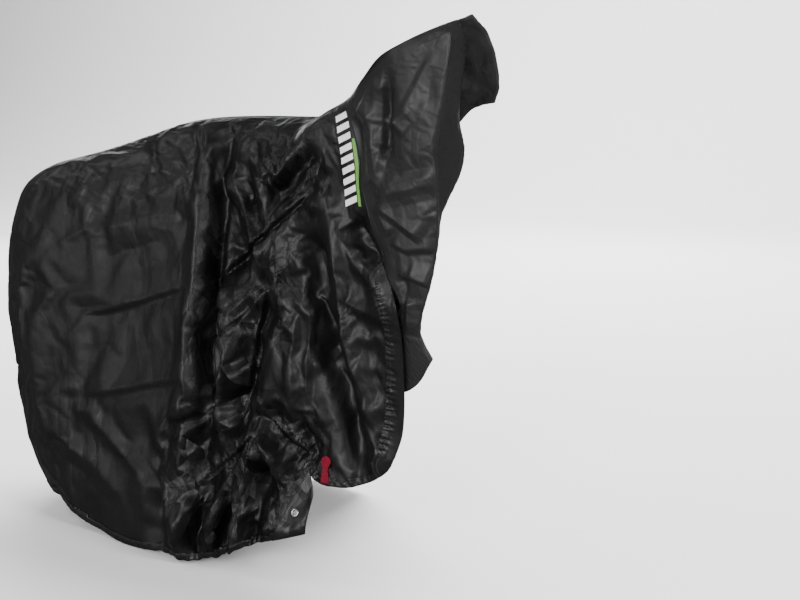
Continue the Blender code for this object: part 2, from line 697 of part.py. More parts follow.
def right_panel(material):
    top3, top_normal, top_across = [values[:len(body_columns())] for values in top_seam()]
    rear = rear_line_points(row_shares(RIGHT_ROWS))
    _, shares = tip_row(row_shares(RIGHT_ROWS))
    front3, front_normal, front_across = front_seam(shares)
    hem_at, foot, head = hem_shares()
    hem = along(plane_points(RIGHT_HEM), hem_at)
    hem[foot:head + 1] = corner_seam()
    plane = coons(top3[:, [0, 2]], hem, rear, front3[:, [0, 2]])
    y = right_y(plane[..., 0], plane[..., 1])
    middle = np.stack([plane[..., 0], y, plane[..., 1]], axis=-1)
    normals = grid_normals(middle, -1)
    seam = slice(foot, head + 1)
    normals[-1, seam] = normals_of(right_y, plane[-1, seam, 0], plane[-1, seam, 1], -1)
    across = corner_across(middle[-1, foot:head + 1], normals[-1, foot:head + 1])
    middle[-1, foot:head + 1] -= across * SEAM_GAP / 2
    sewn_edges(middle, normals, (top3, top_normal, top_across), -1)
    middle[:, -1] = front3 - front_across * SEAM_GAP / 2
    middle[0, -1] -= top_across[-1] * SEAM_GAP / 2
    normals[:, -1] = front_normal
    points, faces = closed_sheet(middle, normals, CLOTH)
    return add_object("right_panel", points, faces, material)


def left_hem_shares(count):
    """Shares along the left hem: the tail's columns, then even ones."""
    hem = plane_points(LEFT_HEM)
    tail = share_at_x(hem, TAIL_X)
    rest = np.linspace(tail, 1, count - TAIL_COLUMNS)[1:]
    return np.r_[eased(TAIL_COLUMNS, 1.35) * tail, rest]


def left_panel(material):
    top = top_seam()
    rear = rear_line_points(row_shares(LEFT_ROWS))
    front = along(plane_points(LEFT_FRONT), row_shares(LEFT_ROWS))
    flap = along(plane_points(LEFT_FLAP), np.linspace(0, 1, FLAP_COLUMNS + 1))
    head = np.vstack([top[0][:, [0, 2]], flap[1:]])
    hem = along(plane_points(LEFT_HEM), left_hem_shares(len(head)))
    plane = relaxed(coons(head, hem, rear, front), LEFT_EVENING)
    y = left_y(plane[..., 0], plane[..., 1])
    middle = np.stack([plane[..., 0], y, plane[..., 1]], axis=-1)
    normals = grid_normals(middle, 1)
    sewn_edges(middle, normals, top, 1)
    points, faces = closed_sheet(middle, normals, CLOTH)
    return add_object("left_panel", points, flipped(faces), material)


# ---------------------------------------------------------------- hood
def hood_strip(fold, edge, down):
    """Strip from the front fold to its inner edge: each row first turns back, like a pleat."""
    across = np.linspace(0, 1, STRIP_COLUMNS + 1)[None, :, None]
    rows = fold[:, None] + (edge - fold)[:, None] * across
    inwards = np.sin(math.pi / 2 * across[..., 0])
    rows[..., 1] = fold[:, None, 1] + (edge - fold)[:, None, 1] * inwards
    turn = np.sin(math.pi * np.minimum(across[..., 0] * 2.2, 1.0))
    depth = PLEAT_DEPTH * step_up((down - 0.02) / 0.10) * (1 - step_up((down - 0.45) / 0.15))
    rows[..., 0] -= depth[:, None] * turn
    return rows


def hood_panel(material):
    """Near face from the seam to the front fold, then the strip that turns in behind the fold."""
    tip, shares = tip_row(row_shares(RIGHT_ROWS))
    start = len(body_columns()) - 1
    chosen = slice(start, start + len(ridge_columns()))
    top3, top_normal, top_across = [values[chosen] for values in top_seam()]
    seam3, seam_normal, seam_across = [values[:tip + 1] for values in front_seam(shares)]
    behind = along(plane_points(HOOD_BEHIND), np.linspace(0, 1, TAIL_ROWS + 1))
    left = np.vstack([seam3[:, [0, 2]], behind[1:]])
    upper = shares[:tip + 1] / shares[tip] * TIP_SHARE
    lower = TIP_SHARE + (1 - TIP_SHARE) * np.linspace(0, 1, TAIL_ROWS + 1)[1:]
    down = np.r_[upper, lower]
    fold = along(plane_points(HOOD_FOLD), down)
    fold[0] = top3[RIDGE_COLUMNS, [0, 2]]
    foot = along(plane_points(HOOD_FOOT), np.linspace(0, 1, RIDGE_COLUMNS + 1))
    plane = coons(top3[:RIDGE_COLUMNS + 1, [0, 2]], foot, left, fold)
    y = hood_y(plane[..., 0], plane[..., 1])
    face = np.stack([plane[..., 0], y, plane[..., 1]], axis=-1)
    face[0] = top3[:RIDGE_COLUMNS + 1]
    face[:tip + 1, 0] = seam3
    edge = along([row[1:4] for row in HOOD_STRIP], down)
    strip = hood_strip(face[:, -1], edge, down)
    middle = np.concatenate([face, strip[:, 1:]], axis=1)
    normals = grid_normals(middle, -1)
    normals[0, :RIDGE_COLUMNS + 1] = top_normal[:RIDGE_COLUMNS + 1]
    normals[:tip + 1, 0] = seam_normal
    middle[:tip + 1, 0] += seam_across * SEAM_GAP / 2
    middle[0, :RIDGE_COLUMNS + 1] -= (top_across * SEAM_GAP / 2)[:RIDGE_COLUMNS + 1]
    points, faces = closed_sheet(middle, normals, CLOTH)
    return add_object("hood_panel", points, faces, material)


# ---------------------------------------------------------------- eyelet corner, eyelet and tab
def corner_frame():
    """Centre and unit normal of the flat round the eyelet."""
    x = np.array(EYELET_X)
    height = np.array(EYELET_HEIGHT)
    centre = np.array([EYELET_X, float(right_y(x, height)), EYELET_HEIGHT])
    return centre, normals_of(right_y, x, height, -1)


def eyelet_patch(material):
    """Corner of doubled cloth: rings of points from the hole out to the corner's border."""
    centre, flat = corner_frame()
    seam = corner_seam()[::-1]
    free_side = np.linspace(PATCH_CORNER, PATCH_SIDE, 6)
    upper_side = np.linspace(PATCH_SIDE, seam[0], 4)
    hem = np.linspace(seam[-1], PATCH_CORNER, 6)
    seam[0] += (seam[1] - seam[0]) * HEAD_TRIM
    border = np.vstack([seam, hem[1:], free_side[1:], upper_side[1:-1]])
    start = border[0] - np.array([EYELET_X, EYELET_HEIGHT])
    turn = math.atan2(start[1], start[0]) + np.arange(len(border)) * 2 * math.pi / len(border)
    direction = np.stack([np.cos(turn), np.sin(turn)], axis=-1)
    rings = []
    for radius in (PATCH_HOLE, PATCH_FLAT):
        rings.append(np.array([EYELET_X, EYELET_HEIGHT]) + direction * radius)
    for share in (0.45, 1.0):
        rings.append(rings[1] + (border - rings[1]) * share)
    plane = np.stack(rings)
    y = right_y(plane[..., 0], plane[..., 1])
    normals = normals_of(right_y, plane[..., 0], plane[..., 1], -1)
    for ring in (0, 1):
        away = plane[ring] - np.array([EYELET_X, EYELET_HEIGHT])
        y[ring] = centre[1] - (away[:, 0] * flat[0] + away[:, 1] * flat[2]) / flat[1]
        normals[ring] = flat
    middle = np.stack([plane[..., 0], y, plane[..., 1]], axis=-1)
    stitched = slice(0, len(seam))
    middle[-1, stitched] += corner_across(middle[-1, stitched], normals[-1, stitched]) * SEAM_GAP / 2
    rows, cols = middle.shape[:2]
    outer = (middle + normals * PATCH_CLOTH / 2).reshape(-1, 3)
    inner = (middle - normals * PATCH_CLOTH / 2).reshape(-1, 3)
    count = rows * cols
    faces = []
    for c in range(cols):
        n = (c + 1) % cols
        for r in range(rows - 1):
            quad = (r * cols + n, r * cols + c, (r + 1) * cols + c, (r + 1) * cols + n)
            faces.append(quad)
            faces.append(tuple(count + k for k in reversed(quad)))
        faces.append((c, n, count + n, count + c))
        last = (rows - 1) * cols
        faces.append((last + n, last + c, count + last + c, count + last + n))
    return add_object("eyelet_patch", np.vstack([outer, inner]), faces, material)


def eyelet(material):
    """Spool of rolled metal: a barrel through the corner with a flange on each face."""
    centre, axis = corner_frame()
    half = PATCH_CLOTH / 2 + SEAM_GAP
    crown = half + EYELET_METAL
    lip = EYELET_FLANGE - EYELET_METAL / 2
    profile = [(EYELET_HOLE, half), (EYELET_HOLE + 0.0006, crown - 0.0002), (EYELET_BARREL + 0.0006, crown),
               (lip, half + 0.6 * EYELET_METAL), (EYELET_FLANGE, half), (EYELET_BARREL, half)]
    profile = profile + [(radius, -level) for radius, level in reversed(profile)]
    steps = 24
    side = np.cross(axis, [0.0, 0.0, 1.0])
    side /= np.linalg.norm(side)
    up = np.cross(side, axis)
    points = []
    for k in range(steps):
        angle = 2 * math.pi * k / steps
        spoke = side * math.cos(angle) + up * math.sin(angle)
        points += [centre + spoke * radius + axis * level for radius, level in profile]
    count = len(profile)
    faces = []
    for k in range(steps):
        here = k * count
        there = (k + 1) % steps * count
        for p in range(count):
            q = (p + 1) % count
            faces.append((here + p, there + p, there + q, here + q))
    return add_object("eyelet", points, faces, material)


def red_tab(panel, material):
    """Flat woven tab on the outside of the front hem: a round head and a straight tail."""
    tree = BVHTree.FromObject(panel, bpy.context.evaluated_depsgraph_get())
    head = TAB_WIDTH / 2
    rows = []
    for share in np.linspace(0, 1, 9):
        rows.append((share * (TAB_LENGTH - TAB_WIDTH * 0.55), TAB_NECK / 2))
    for angle in np.radians([-35, -10, 15, 40, 62, 80]):
        rows.append((TAB_LENGTH - head + head * math.sin(angle), head * math.cos(angle)))
    rows.sort()
    front = []
    for rise, half in rows:
        for across in (-1.0, -0.5, 0.0, 0.5, 1.0):
            front.append((TAB_X + across * half, TAB_FOOT + rise))
    middle = []
    for x, height in front:
        start = Vector((x - SADDLE_X, -1.0, height - SADDLE_HEIGHT))
        hit = tree.ray_cast(start, Vector((0.0, 1.0, 0.0)))[0]
        middle.append((x, hit.y, height))
    grid = np.array(middle).reshape(len(rows), 5, 3)
    grid[..., 1] = smooth_rows(grid[..., 1]) - SEAM_GAP - TAB_THICK / 2
    normals = np.zeros_like(grid)
    normals[..., 1] = -1.0
    points, faces = closed_sheet(grid, normals, TAB_THICK)
    return add_object("red_tab", points, flipped(faces), material)


def smooth_rows(values):
    """Nearest-to-viewer envelope of the cloth under the tab, so the tab lies over its bumps."""
    result = values.copy()
    for r in range(len(values)):
        low = max(0, r - 1)
        result[r] = values[low:r + 2].min(axis=0)
    return result


# ---------------------------------------------------------------- build
def build():
    for obj in list(bpy.data.objects):
        bpy.data.objects.remove(obj, do_unlink=True)
    black = (0.018, 0.018, 0.020)
    panel = right_panel(principled("right side nylon", black, 0.42, coat=0.1))
    left_panel(principled("left side nylon", black, 0.42, coat=0.1))
    hood_panel(principled("hood nylon", (0.020, 0.020, 0.022), 0.42, coat=0.1))
    eyelet_patch(principled("corner nylon", (0.022, 0.022, 0.023), 0.46))
    eyelet(principled("eyelet metal", (0.62, 0.62, 0.60), 0.28, metallic=1.0))
    bpy.context.view_layer.update()
    red_tab(panel, principled("red webbing", (0.55, 0.01, 0.03), 0.6))


build()
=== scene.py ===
# %% [markdown]
# # A bicycle cover, half pulled on
# A fitted cover of thin black coated nylon is pulled over the rear half of a bicycle. It rests on the
# saddle and hooks over the right handlebar grip, so its front and foot stand open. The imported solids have
# the main folds, in panels 2 mm thick. Here each panel's outer face is made finer, creased, given a thin
# wall and hemmed.

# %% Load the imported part
import math

import bmesh
import bpy
import numpy as np
from mathutils import Matrix, Vector


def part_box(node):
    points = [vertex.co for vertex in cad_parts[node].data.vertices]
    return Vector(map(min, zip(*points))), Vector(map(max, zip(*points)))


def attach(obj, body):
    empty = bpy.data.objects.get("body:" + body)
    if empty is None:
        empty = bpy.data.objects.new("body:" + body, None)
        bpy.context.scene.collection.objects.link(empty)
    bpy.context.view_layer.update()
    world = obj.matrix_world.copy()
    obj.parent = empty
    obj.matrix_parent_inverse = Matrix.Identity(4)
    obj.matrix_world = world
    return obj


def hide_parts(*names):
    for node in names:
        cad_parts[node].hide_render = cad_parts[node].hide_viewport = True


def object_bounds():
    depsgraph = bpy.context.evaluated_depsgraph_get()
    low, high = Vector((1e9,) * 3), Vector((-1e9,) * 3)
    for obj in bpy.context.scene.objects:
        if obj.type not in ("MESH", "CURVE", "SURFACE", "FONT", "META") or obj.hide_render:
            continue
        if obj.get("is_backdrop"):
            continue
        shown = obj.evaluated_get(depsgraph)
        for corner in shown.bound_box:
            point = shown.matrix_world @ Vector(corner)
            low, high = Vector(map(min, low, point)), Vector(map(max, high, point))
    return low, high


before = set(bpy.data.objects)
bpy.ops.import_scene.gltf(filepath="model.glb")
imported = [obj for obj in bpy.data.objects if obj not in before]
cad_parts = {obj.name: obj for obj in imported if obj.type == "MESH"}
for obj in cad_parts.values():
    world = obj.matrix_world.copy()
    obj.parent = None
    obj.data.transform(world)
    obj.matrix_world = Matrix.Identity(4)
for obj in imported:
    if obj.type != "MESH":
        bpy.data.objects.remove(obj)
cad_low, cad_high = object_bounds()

print("solids:", sorted(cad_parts))

# %% [markdown]
# Places on the cover are given as a distance ahead of the rear axle and a height above the floor. The
# part's own frame starts at the saddle top, so one constant turns one into the other.

# %% Sizes used all through
SADDLE_TOP = np.array([0.250, 0.0, 0.930])    # ahead of the rear axle, across, above the floor
SOLID_CLOTH, SOLID_CORNER = 0.0020, 0.0026    # walls of the solids: the panels, the corner
NYLON, CORNER_WALL = 0.0012, 0.0022           # walls of the finished cloth
RIGHT, LEFT = -1.0, 1.0                       # which way along Y a side faces
SAME = 2e-6                                   # vertices closer than this are one
rng = np.random.default_rng(20)


def read(items, what, columns=1, kind=np.float64):
    values = np.empty(len(items) * columns, dtype=kind)
    items.foreach_get(what, values)
    return values.reshape(-1, columns) if columns > 1 else values


def points_of(mesh):
    return read(mesh.vertices, "co", 3)


def normals_of(mesh):
    return read(mesh.vertices, "normal", 3)


def set_points(mesh, co):
    mesh.vertices.foreach_set("co", co.ravel())
    mesh.update()


def ahead_and_height(co):
    return co[:, 0] + SADDLE_TOP[0], co[:, 2] + SADDLE_TOP[2]


def smooth_step(t):
    t = np.clip(t, 0.0, 1.0)
    return t * t * (3 - 2 * t)


def distance_to(points, places):
    """Distance from each place to the nearest of some points."""
    nearest = np.full(len(places), np.inf)
    for p in points:
        nearest = np.minimum(nearest, np.linalg.norm(places - p, axis=1))
    return nearest


def run_along(line):
    """Distance run along a line of points, at each of them."""
    return np.concatenate([[0.0], np.cumsum(np.linalg.norm(np.diff(line, axis=0), axis=1))])


def metres(*millimetres):
    return [round(size * 0.001, 6) for size in millimetres]


# %% [markdown]
# ## From a solid panel to a fine sheet
# The solid has an outer face, an inner face and a narrow rim. Only the rim's faces hold an edge exactly as
# long as the wall is thick, so they are found and removed, and of the two faces left the outer one is kept.
# Its triangles are joined back to quads, because quads split into even cloth and triangles pinch it.

# %% Take the outer face of a panel
def outer_face(node, wall, facing):
    bm = bmesh.new()
    bm.from_mesh(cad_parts[node].data)
    bmesh.ops.remove_doubles(bm, verts=bm.verts, dist=SAME)
    rim_edges = [e for e in bm.edges if abs(e.calc_length() - wall) < 4 * SAME]
    rim = {f for e in rim_edges for f in e.link_faces}
    bmesh.ops.delete(bm, geom=list(rim), context="FACES")
    groups, seen = [], set()
    for start in bm.faces:
        if start not in seen:
            group = [start]
            seen.add(start)
            for face in group:    # the list grows while it is walked
                for other in {f for e in face.edges for f in e.link_faces} - seen:
                    seen.add(other)
                    group.append(other)
            groups.append(group)
    pair = sorted(groups, key=len)[-2:]
    keep = max(pair, key=lambda g: facing * sum(f.normal.y * f.calc_area() for f in g))
    drop = [f for g in groups if g is not keep for f in g]
    bmesh.ops.delete(bm, geom=drop, context="FACES")
    bmesh.ops.join_triangles(
        bm, faces=bm.faces[:], angle_face_threshold=math.pi, angle_shape_threshold=math.pi)
    return bm


def linked(name, data):
    obj = bpy.data.objects.new(name, data)
    bpy.context.scene.collection.objects.link(obj)
    return obj


def new_object(name, bm_or_mesh):
    if isinstance(bm_or_mesh, bmesh.types.BMesh):
        mesh = bpy.data.meshes.new(name)
        bm_or_mesh.to_mesh(mesh)
        bm_or_mesh.free()
    else:
        mesh = bm_or_mesh
    mesh.shade_smooth()
    return linked(name, mesh)


def applied(obj):
    """The object's mesh with its modifiers made real, and the modifiers removed."""
    graph = bpy.context.evaluated_depsgraph_get()
    mesh = bpy.data.meshes.new_from_object(obj.evaluated_get(graph), depsgraph=graph)
    obj.modifiers.clear()
    obj.data = mesh
    return mesh


CORNER_PULL = 0.75    # a border vertex whose two edges pull it further than this sits at a corner


def evened(mesh, rounds):
    """Round off a split grid: each vertex moves towards its neighbours, a border one along the border."""
    co = points_of(mesh)
    edges = read(mesh.edges, "vertices", 2, np.int32)
    sides = np.bincount(read(mesh.loops, "edge_index", kind=np.int32), minlength=len(edges))
    rim = np.zeros(len(co), dtype=bool)
    rim[edges[sides == 1].ravel()] = True
    used = edges[(sides == 1) | ~(rim[edges[:, 0]] & rim[edges[:, 1]])]
    both = np.vstack([used, used[:, ::-1]])
    both = both[~(rim[both[:, 0]] & ~rim[both[:, 1]])]
    count = np.bincount(both[:, 0], minlength=len(co))[:, None]
    first = co[both[:, 1]] - co[both[:, 0]]
    length = np.linalg.norm(first, axis=1)[:, None] + 1e-9
    pull = np.zeros_like(co)
    np.add.at(pull, both[:, 0], first / length)
    sharp = rim & (np.linalg.norm(pull, axis=1) > CORNER_PULL)
    for _ in range(rounds):
        total = np.zeros_like(co)
        np.add.at(total, both[:, 0], co[both[:, 1]])
        moved = 0.5 * co + 0.5 * total / np.maximum(count, 1)
        moved[sharp] = co[sharp]
        co = moved
    set_points(mesh, co)


def fine_sheet(name, node, wall, facing, splits, rounds):
    bm = outer_face(node, wall, facing)
    bmesh.ops.subdivide_edges(bm, edges=bm.edges[:], cuts=splits - 1, use_grid_fill=True, smooth=0.0)
    obj = new_object(name, bm)
    evened(obj.data, rounds)
    print(name, len(obj.data.polygons), "cells")
    return obj


right_side = fine_sheet("right_side_cloth", "right_panel", SOLID_CLOTH, RIGHT, 5, 5)
hood = fine_sheet("hood_cloth", "hood_panel", SOLID_CLOTH, RIGHT, 6, 6)
left_side = fine_sheet("left_side_cloth", "left_panel", SOLID_CLOTH, LEFT, 4, 4)
corner = fine_sheet("corner_cloth", "eyelet_patch", SOLID_CORNER, RIGHT, 4, 2)

# %% [markdown]
# ## Borders
# Hems, seams and fades all follow a panel's border, so it is found as an ordered line of vertices, and cut
# at named corners.

# %% Find border lines
def longest_border(mesh):
    bm = bmesh.new()
    bm.from_mesh(mesh)
    open_edges = {e for e in bm.edges if e.is_boundary}
    loops = []
    while open_edges:
        edge = open_edges.pop()
        start, here = edge.verts
        line = [start.index, here.index]
        while here != start:
            step = next((e for e in here.link_edges if e in open_edges), None)
            if step is None:
                break
            open_edges.remove(step)
            here = step.other_vert(here)
            line.append(here.index)
        loops.append(line[:-1])
    bm.free()
    return max(loops, key=len)


def border_between(obj, start, through, end):
    """Vertex indices along the border from one place to another, by way of a third."""
    loop = longest_border(obj.data)
    x, height = ahead_and_height(points_of(obj.data)[loop])
    a, m, b = (int(np.argmin((x - p[0]) ** 2 + (height - p[1]) ** 2)) for p in (start, through, end))
    count = len(loop)
    forward = [loop[(a + k) % count] for k in range((b - a) % count + 1)]
    back = [loop[(a - k) % count] for k in range((a - b) % count + 1)]
    return forward if loop[m] in forward else back


NECK = (0.535, 0.990)
SHOULDER = (-0.335, 0.806)
REAR_FOOT = (-0.330, 0.075)
POCKET = (0.658, 0.648)
FRONT_CORNER = (0.658, 0.268)
CORNER_FOOT = (0.410, 0.085)
CORNER_HEAD = (0.474, 0.238)
GRIP_END = (0.787, 1.139)

right_top = border_between(right_side, SHOULDER, (0.1, 0.92), NECK)
right_rear = border_between(right_side, SHOULDER, (-0.434, 0.50), REAR_FOOT)
print("top line", len(right_top), "rear line", len(right_rear), "vertices")

# %% [markdown]
# ## Creases
# Thin coated nylon keeps fine straight creases from its pouch, and where it is pulled it stands up in
# narrow ridges with slack between them. A ridge is a line with a width, a rise and a sharpness: a soft one
# is a bell, a sharp one comes to an edge. The main ones are listed one by one.
#
# Where a fold lies over the cloth beside it, sharp is LAP: the slope is long on the right of the line's own
# direction, and on its left the cloth drops off at once. The tables are in millimetres and degrees.

# %% Raise cloth along lines
LAP = 2.0
LONG_SLOPE, SHORT_SLOPE = 3.6, 2.1     # of a ridge, in its widths
LAP_SLOPE, LAP_DROP = 4.8, 0.8         # of a lap, in its widths
BELL = 0.8                             # how fast a soft ridge falls away
FADE = 0.22                            # share of a line over which each end dies out
SIDE_PICKER = 913.0                    # a cosine of it picks a ridge's long side


def ridge(x, height, line, width, rise, sharp):
    """Rise of the cloth near one line of (ahead, height) points: a roof, long on one side."""
    steps = np.linalg.norm(np.diff(line, axis=0), axis=1)
    total, gone = steps.sum(), 0.0
    nearest = np.full(x.shape, np.inf)
    share, side = np.zeros(x.shape), np.zeros(x.shape)
    for (x0, h0), (x1, h1), step in zip(line[:-1], line[1:], steps):
        t = ((x - x0) * (x1 - x0) + (height - h0) * (h1 - h0)) / step**2
        t = np.clip(t, 0.0, 1.0)
        away = np.hypot(x - x0 - t * (x1 - x0), height - h0 - t * (h1 - h0))
        closer = away < nearest
        nearest = np.where(closer, away, nearest)
        share = np.where(closer, (gone + t * step) / total, share)
        side = np.where(closer, (x - x0) * (h1 - h0) - (height - h0) * (x1 - x0), side)
        gone += step
    fade = smooth_step(np.minimum(share, 1 - share) / FADE)
    if sharp == LAP:
        slopes = np.where(side > 0, LAP_SLOPE, LAP_DROP)
        return rise * fade * np.maximum(0.0, 1.0 - nearest / (width * slopes))
    long_way = 1.0 if rise * math.cos(SIDE_PICKER * (line[0, 0] + line[-1, 1])) > 0 else -1.0
    slopes = np.where(side * long_way > 0, LONG_SLOPE, SHORT_SLOPE)
    roof = np.maximum(0.0, 1.0 - nearest / (width * slopes))
    d = nearest / width
    return rise * fade * (sharp * roof + (1 - sharp) * np.exp(-BELL * d * d))


def placed(creases):
    """The rows of a table of creases, in metres."""
    return [(*metres(width, rise), sharp, np.reshape(metres(*line), (-1, 2)))
            for _, width, rise, sharp, line in creases]


def raised(x, height, creases):
    total = np.zeros(x.shape)
    for width, rise, sharp, line in creases:
        total += ridge(x, height, line, width, rise, sharp)
    return total


REAR_CREASES = [  # name, width, rise, sharpness, line as ahead, height, ahead, height and so on
    ("upper packing crease", 16, 5, 0.8, [
        -302, 706, -230, 701, -177, 681, -105, 697, -63, 690, 27, 722, 168, 742]),
    ("long packing crease", 14, 8.5, LAP, [181, 596, 116, 576, 34, 547, -54, 516, -149, 493]),
    ("lower packing crease", 14, 7.5, LAP, [189, 405, 110, 384, 30, 360, -60, 334, -131, 322]),
    ("fall from the rack", 14, 5, 0.9, [-177, 786, -88, 741]),
    ("short fall", 13, 4.5, 0.9, [-104, 792, -34, 777]),
    ("pinch", 16, 6.5, 0.9, [-20, 790, -33, 771, -64, 694, -70, 650]),
    ("saddle pull 1", 15, 6, 0.9, [18, 742, 107, 810, 151, 824]),
    ("saddle pull 2", 13, 5, 0.9, [36, 739, 100, 745, 167, 746]),
    ("saddle pull 3", 13, 5, 0.9, [87, 765, 167, 761]),
    ("bright pull", 18, 6, 0.8, [17, 835, 70, 872, 120, 915.6]),
    ("bright pull beside", 14, 5, 0.8, [106, 829, 154, 880]),
    ("tail slant", 14, 4.5, 0.9, [-225, 639, -111, 696]),
    ("tail tick", 12, 4, 0.9, [-274, 665, -245, 638]),
    ("tail fall", 14, 4.5, 0.9, [-273, 600, -203, 522]),
    ("tail cross", 14, 4.5, 0.9, [-358, 504, -315, 551, -203, 515]),
    ("shoulder crease", 14, 4.5, 0.8, [-310, 714, -356, 658]),
    ("tail hollow", 50, -10, 0.2, [-120, 610, -20, 630, 120, 665]),
    ("lower hollow", 60, -11, 0.2, [-160, 405, 0, 440, 150, 480]),
    ("low slack", 50, 8, 0.2, [-250, 300, -100, 250, 60, 260]),
    ("foot slant 1", 18, 6, 0.8, [-230, 230, -90, 170, 30, 90]),
    ("foot slant 2", 16, 6, 0.8, [-130, 300, 10, 200, 110, 130]),
    ("foot slant 3", 16, 5, 0.8, [-290, 160, -200, 100, -130, 50]),
    ("foot ridge", 14, 6, 0.9, [60, 330, 120, 240, 130, 150]),
]
SADDLE_CREASES = [
    ("saddle ridge", 9, 11.5, LAP, [
        168, 917, 176, 834, 187, 742, 188, 592, 187, 488, 187, 417, 188, 320, 191, 235, 186, 190]),
    ("saddle valley", 12, -12, 0.7, [200, 898, 206, 762, 209, 552, 209, 340, 209, 236]),
    ("second ridge", 11, 4.5, 0.9, [230, 880, 236, 740, 240, 600, 244, 430]),
    ("hollow rib", 12, 9, 0.9, [198, 818, 240, 753, 274, 689, 341, 652]),
    ("fan upper", 13, -9, 0.8, [352.5, 778, 410, 835, 473, 882]),
    ("fan middle", 11, 8, 0.9, [356, 764, 425, 815, 494, 847]),
    ("fan back", 12, -8, 0.8, [352.5, 778, 320, 830, 284, 883]),
    ("fan back rib", 11, 7, 0.9, [340, 780, 300, 835, 262, 880]),
    ("diagonal hollow", 12, -24, LAP, [
        205, 575, 260, 632, 312, 682, 372, 728, 440, 778, 492, 830]),
    ("sliver 1", 9, 10, 0.9, [350, 775, 318, 830, 298, 892]),
    ("sliver 2", 10, 12, 0.9, [345, 652, 295, 716, 256, 796, 236, 850]),
    ("dark between", 10, -9, 0.8, [278, 850, 290, 780, 318, 710]),
    ("swag", 9, 8, 0.9, [308, 880, 326, 850, 348, 836, 375, 835, 400, 862, 410, 910]),
    ("dark fan", 11, -9, 0.8, [352, 775, 430, 800, 492, 812]),
    ("sinuous 1", 11, 11, LAP, [205, 440, 262, 490, 301, 528, 347, 584, 400, 610]),
    ("sinuous 2", 10, 8, LAP, [215, 510, 270, 540, 330, 600]),
    ("skirt panel hollow", 9, -20, LAP, [312, 345, 322, 430, 338, 506, 372, 610]),
    ("skirt panel right", 14, 12, LAP, [473, 590, 468, 480, 466, 360]),
    ("skirt panel foot", 12, 13, LAP, [484, 248, 430, 296, 364, 350]),
    ("teardrop 1", 11, 8, 0.9, [465, 596, 541, 568]),
    ("teardrop 2", 11, -8, 0.8, [541, 560, 515, 500, 482, 454]),
    ("front rib", 13, 10.5, LAP, [600, 250, 580, 320, 567, 400, 560, 498, 545, 580, 530, 696, 522, 770]),
    ("front valley", 11, -6, 0.8, [520, 600, 532, 534, 569, 395.5, 598, 296]),
    ("skirt ridge 3", 12, 10, LAP, [250, 280, 262, 400, 285, 500]),
    ("skirt ridge 4", 13, 8, 0.9, [440, 560, 430, 470, 410, 380]),
    ("skirt cross 1", 12, 6, 0.9, [250, 520, 330, 490, 400, 500]),
    ("skirt cross 2", 12, 6, 0.9, [245, 400, 310, 420, 365, 395]),
]
BUNDLE_CREASES = [
    ("bundle valley", 12, -10, 0.6, [367, 350, 429, 292, 470, 240]),
    ("bundle brow", 14, 10, 0.9, [355, 372, 415, 330, 466, 290]),
    ("apex rib 1", 12, 12, LAP, [372, 318, 310, 262, 241, 205, 205, 165]),
    ("apex rib 2", 13, 14, LAP, [217, 40, 262, 130, 300, 205, 368, 311]),
    ("apex rib 3", 12, 13, LAP, [315, 30, 322, 154, 345, 230, 372, 311]),
    ("apex rib 4", 12, 12, LAP, [440, 120, 424, 168, 400, 240, 374, 311]),
    ("apex hollow 1", 12, -8, 0.7, [350, 270, 300, 190, 262, 90]),
    ("apex hollow 2", 12, -8, 0.7, [366, 260, 360, 190, 368, 90]),
    ("low arch", 14, -9, 0.6, [105, 185, 140, 260, 183.5, 328]),
    ("arch lip", 12, 8, 0.9, [85, 215, 120, 290, 170, 370]),
    ("left of the foot", 12, 8, 0.9, [192.5, 239, 167, 180, 150, 157, 175, 90]),
    ("pillow", 22, 9, 0.4, [146, 132.5, 190, 90, 236, 47.5]),
    ("foot rib 1", 11, 9, 0.9, [281, 261, 283, 141, 268, 45]),
    ("foot rib 2", 11, 8, 0.9, [392, 200, 392, 151, 398, 86]),
    ("foot rib 3", 11, 8, 0.9, [350, 150, 347, 70]),
    ("foot cleft 1", 11, -9, 0.7, [305, 150, 302, 45]),
    ("foot cleft 2", 10, -9, 0.7, [245, 140, 243, 35]),
    ("foot cleft 3", 11, -9, 0.7, [205, 160, 201, 30]),
]
FRONT_CREASES = [
    ("pocket fold 1", 12, 7, 0.9, [554, 597, 600, 585, 653, 565]),
    ("pocket fold 2", 12, 7, 0.9, [554, 538, 600, 580, 651, 610]),
    ("slit hollow", 12, -12, 0.9, [571, 760, 600, 715, 637, 672]),
    ("hem gather 1", 10, 5, 0.8, [640, 540, 600, 520, 570, 530]),
    ("hem gather 2", 10, 5, 0.8, [640, 470, 605, 465, 580, 480]),
    ("hem gather 3", 10, 5, 0.8, [645, 400, 615, 385, 590, 390]),
]
